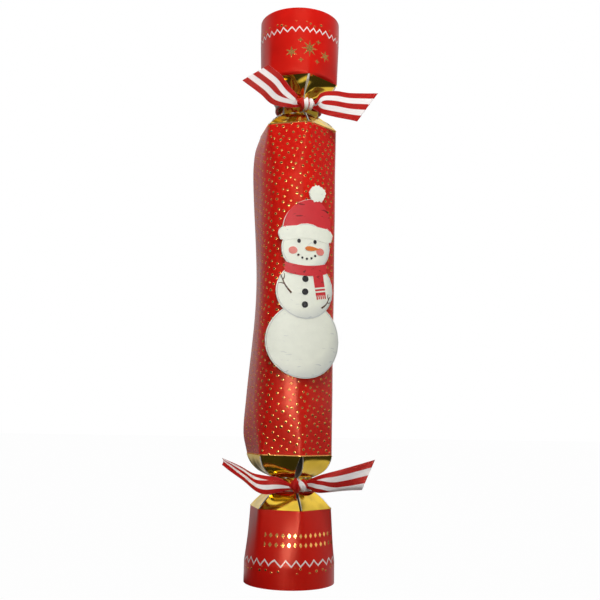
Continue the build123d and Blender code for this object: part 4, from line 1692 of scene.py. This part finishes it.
class CRACKER_OT_necks(bpy.types.Operator):
    """Make the gold pleats and flaps of both necks"""

    bl_idname = "cracker.make_necks"
    bl_label = "Necks"

    def execute(self, context):
        sizes = card_sizes()
        finishes = [finish_of("gold_card", gold_card), finish_of("plain_board", plain_board)]
        for end in ENDS:
            crown, barrel, near, far, side = neck_levels(end)
            root, tip = barrel - side * sizes.fold_gap / 3, far + side * sizes.fold_gap
            for i in range(1, PANELS + 1):
                azimuth = PANEL_TURN * (i - 0.5)
                pleat = panel_shape(azimuth, (crown, near, far), NECK_SHAPES[end, "pleat"], i * PLEAT_SEED)
                gape = FLAP_GAPES.get((end, i), NO_GAPE)
                flap = panel_shape(azimuth, (root, tip, tip), NECK_SHAPES[end, "flap"],
                                   i * FLAP_SEED + FLAP_SEED_START, gape, slack=1.0)
                for kind, shape, body, fold in (("pleat", pleat, f"{end}_end", crown),
                                                ("flap", flap, f"{end}_flap_{i}", root)):
                    add_piece(f"{end}_{kind}_card_{i}", shape, finishes, body, sizes.card,
                              nodes=[f"{end}_{kind}_{i}"], folds=(fold,))
        return {"FINISHED"}


class CRACKER_OT_ribbons(bpy.types.Operator):
    """Tie the striped ribbons round both necks"""

    bl_idname = "cracker.make_ribbons"
    bl_label = "Ribbons"

    def execute(self, context):
        sizes = ribbon_sizes()
        cloth = finish_of("striped_satin", satin)
        for end in ENDS:
            made = [("wrap", *wrap_shape(end), "gathered", [f"{end}_pleat_card_1"]),
                    ("knot", *knot_shape(end), "gathered", [f"{end}_ribbon_band_wrap"])]
            made += [(f"tail_{hand}", *tail_shape(end, hand), "hung", [f"{end}_ribbon_band_knot"])
                     for hand in ("left", "right")]
            for part, shape, length, held, rests_on in made:
                piece = add_piece(f"{end}_ribbon_band_{part}", shape, [cloth], f"{end}_end",
                                  sizes.thickness, nodes=[f"{end}_ribbon_{part}"], offset=0.0)
        return {"FINISHED"}


class CRACKER_OT_figure(bpy.types.Operator):
    """Make the raised figure on the front"""

    bl_idname = "cracker.make_figure"
    bl_label = "Figure"

    def execute(self, context):
        make_figure()
        return {"FINISHED"}


class CRACKER_OT_inside(bpy.types.Operator):
    """Finish the snap, the gift and the papers inside"""

    bl_idname = "cracker.dress_inside"
    bl_label = "Inside"

    def execute(self, context):
        dress_inside()
        return {"FINISHED"}


class CRACKER_OT_stage(bpy.types.Operator):
    """Set up the floor, the light and the camera"""

    bl_idname = "cracker.make_stage"
    bl_label = "Stage"

    def execute(self, context):
        context.scene.view_settings.view_transform = "Standard"
        add_camera()
        add_world()
        add_floor()
        for name, values in LAMPS.items():
            add_lamp(name, *values)
        return {"FINISHED"}


STEPS = [CRACKER_OT_barrel, CRACKER_OT_crowns, CRACKER_OT_necks, CRACKER_OT_ribbons, CRACKER_OT_figure,
         CRACKER_OT_inside, CRACKER_OT_stage]


class CRACKER_PT_panel(bpy.types.Panel):
    """Sidebar panel with the steps and the values"""

    bl_idname = "CRACKER_PT_panel"
    bl_label = "Christmas Cracker"
    bl_space_type = "VIEW_3D"
    bl_region_type = "UI"
    bl_category = "Cracker"

    def draw(self, context):
        layout = self.layout
        for step in STEPS:
            layout.operator(step.bl_idname)
        for group in VALUES:
            box = layout.box()
            for key in VALUES[group].__annotations__:
                box.prop(getattr(context.scene, group), key)


VALUES = {
    "cracker_card": CrackerCardSizes,
    "cracker_ribbon": CrackerRibbonSizes,
    "cracker_figure": CrackerFigureSizes,
    "cracker_colours": CrackerColours,
}


def register():
    for kind in [*VALUES.values(), *STEPS, CRACKER_PT_panel]:
        bpy.utils.register_class(kind)
    for name, kind in VALUES.items():
        setattr(bpy.types.Scene, name, PointerProperty(type=kind))


def unregister():
    for name in VALUES:
        delattr(bpy.types.Scene, name)
    for kind in reversed([*VALUES.values(), *STEPS, CRACKER_PT_panel]):
        bpy.utils.unregister_class(kind)


def main():
    register()
    bpy.ops.cracker.make_barrel()
    bpy.ops.cracker.make_crowns()
    bpy.ops.cracker.make_necks()
    bpy.ops.cracker.make_ribbons()
    bpy.ops.cracker.make_figure()
    bpy.ops.cracker.dress_inside()
    bpy.ops.cracker.make_stage()


if __name__ == "__main__":
    main()
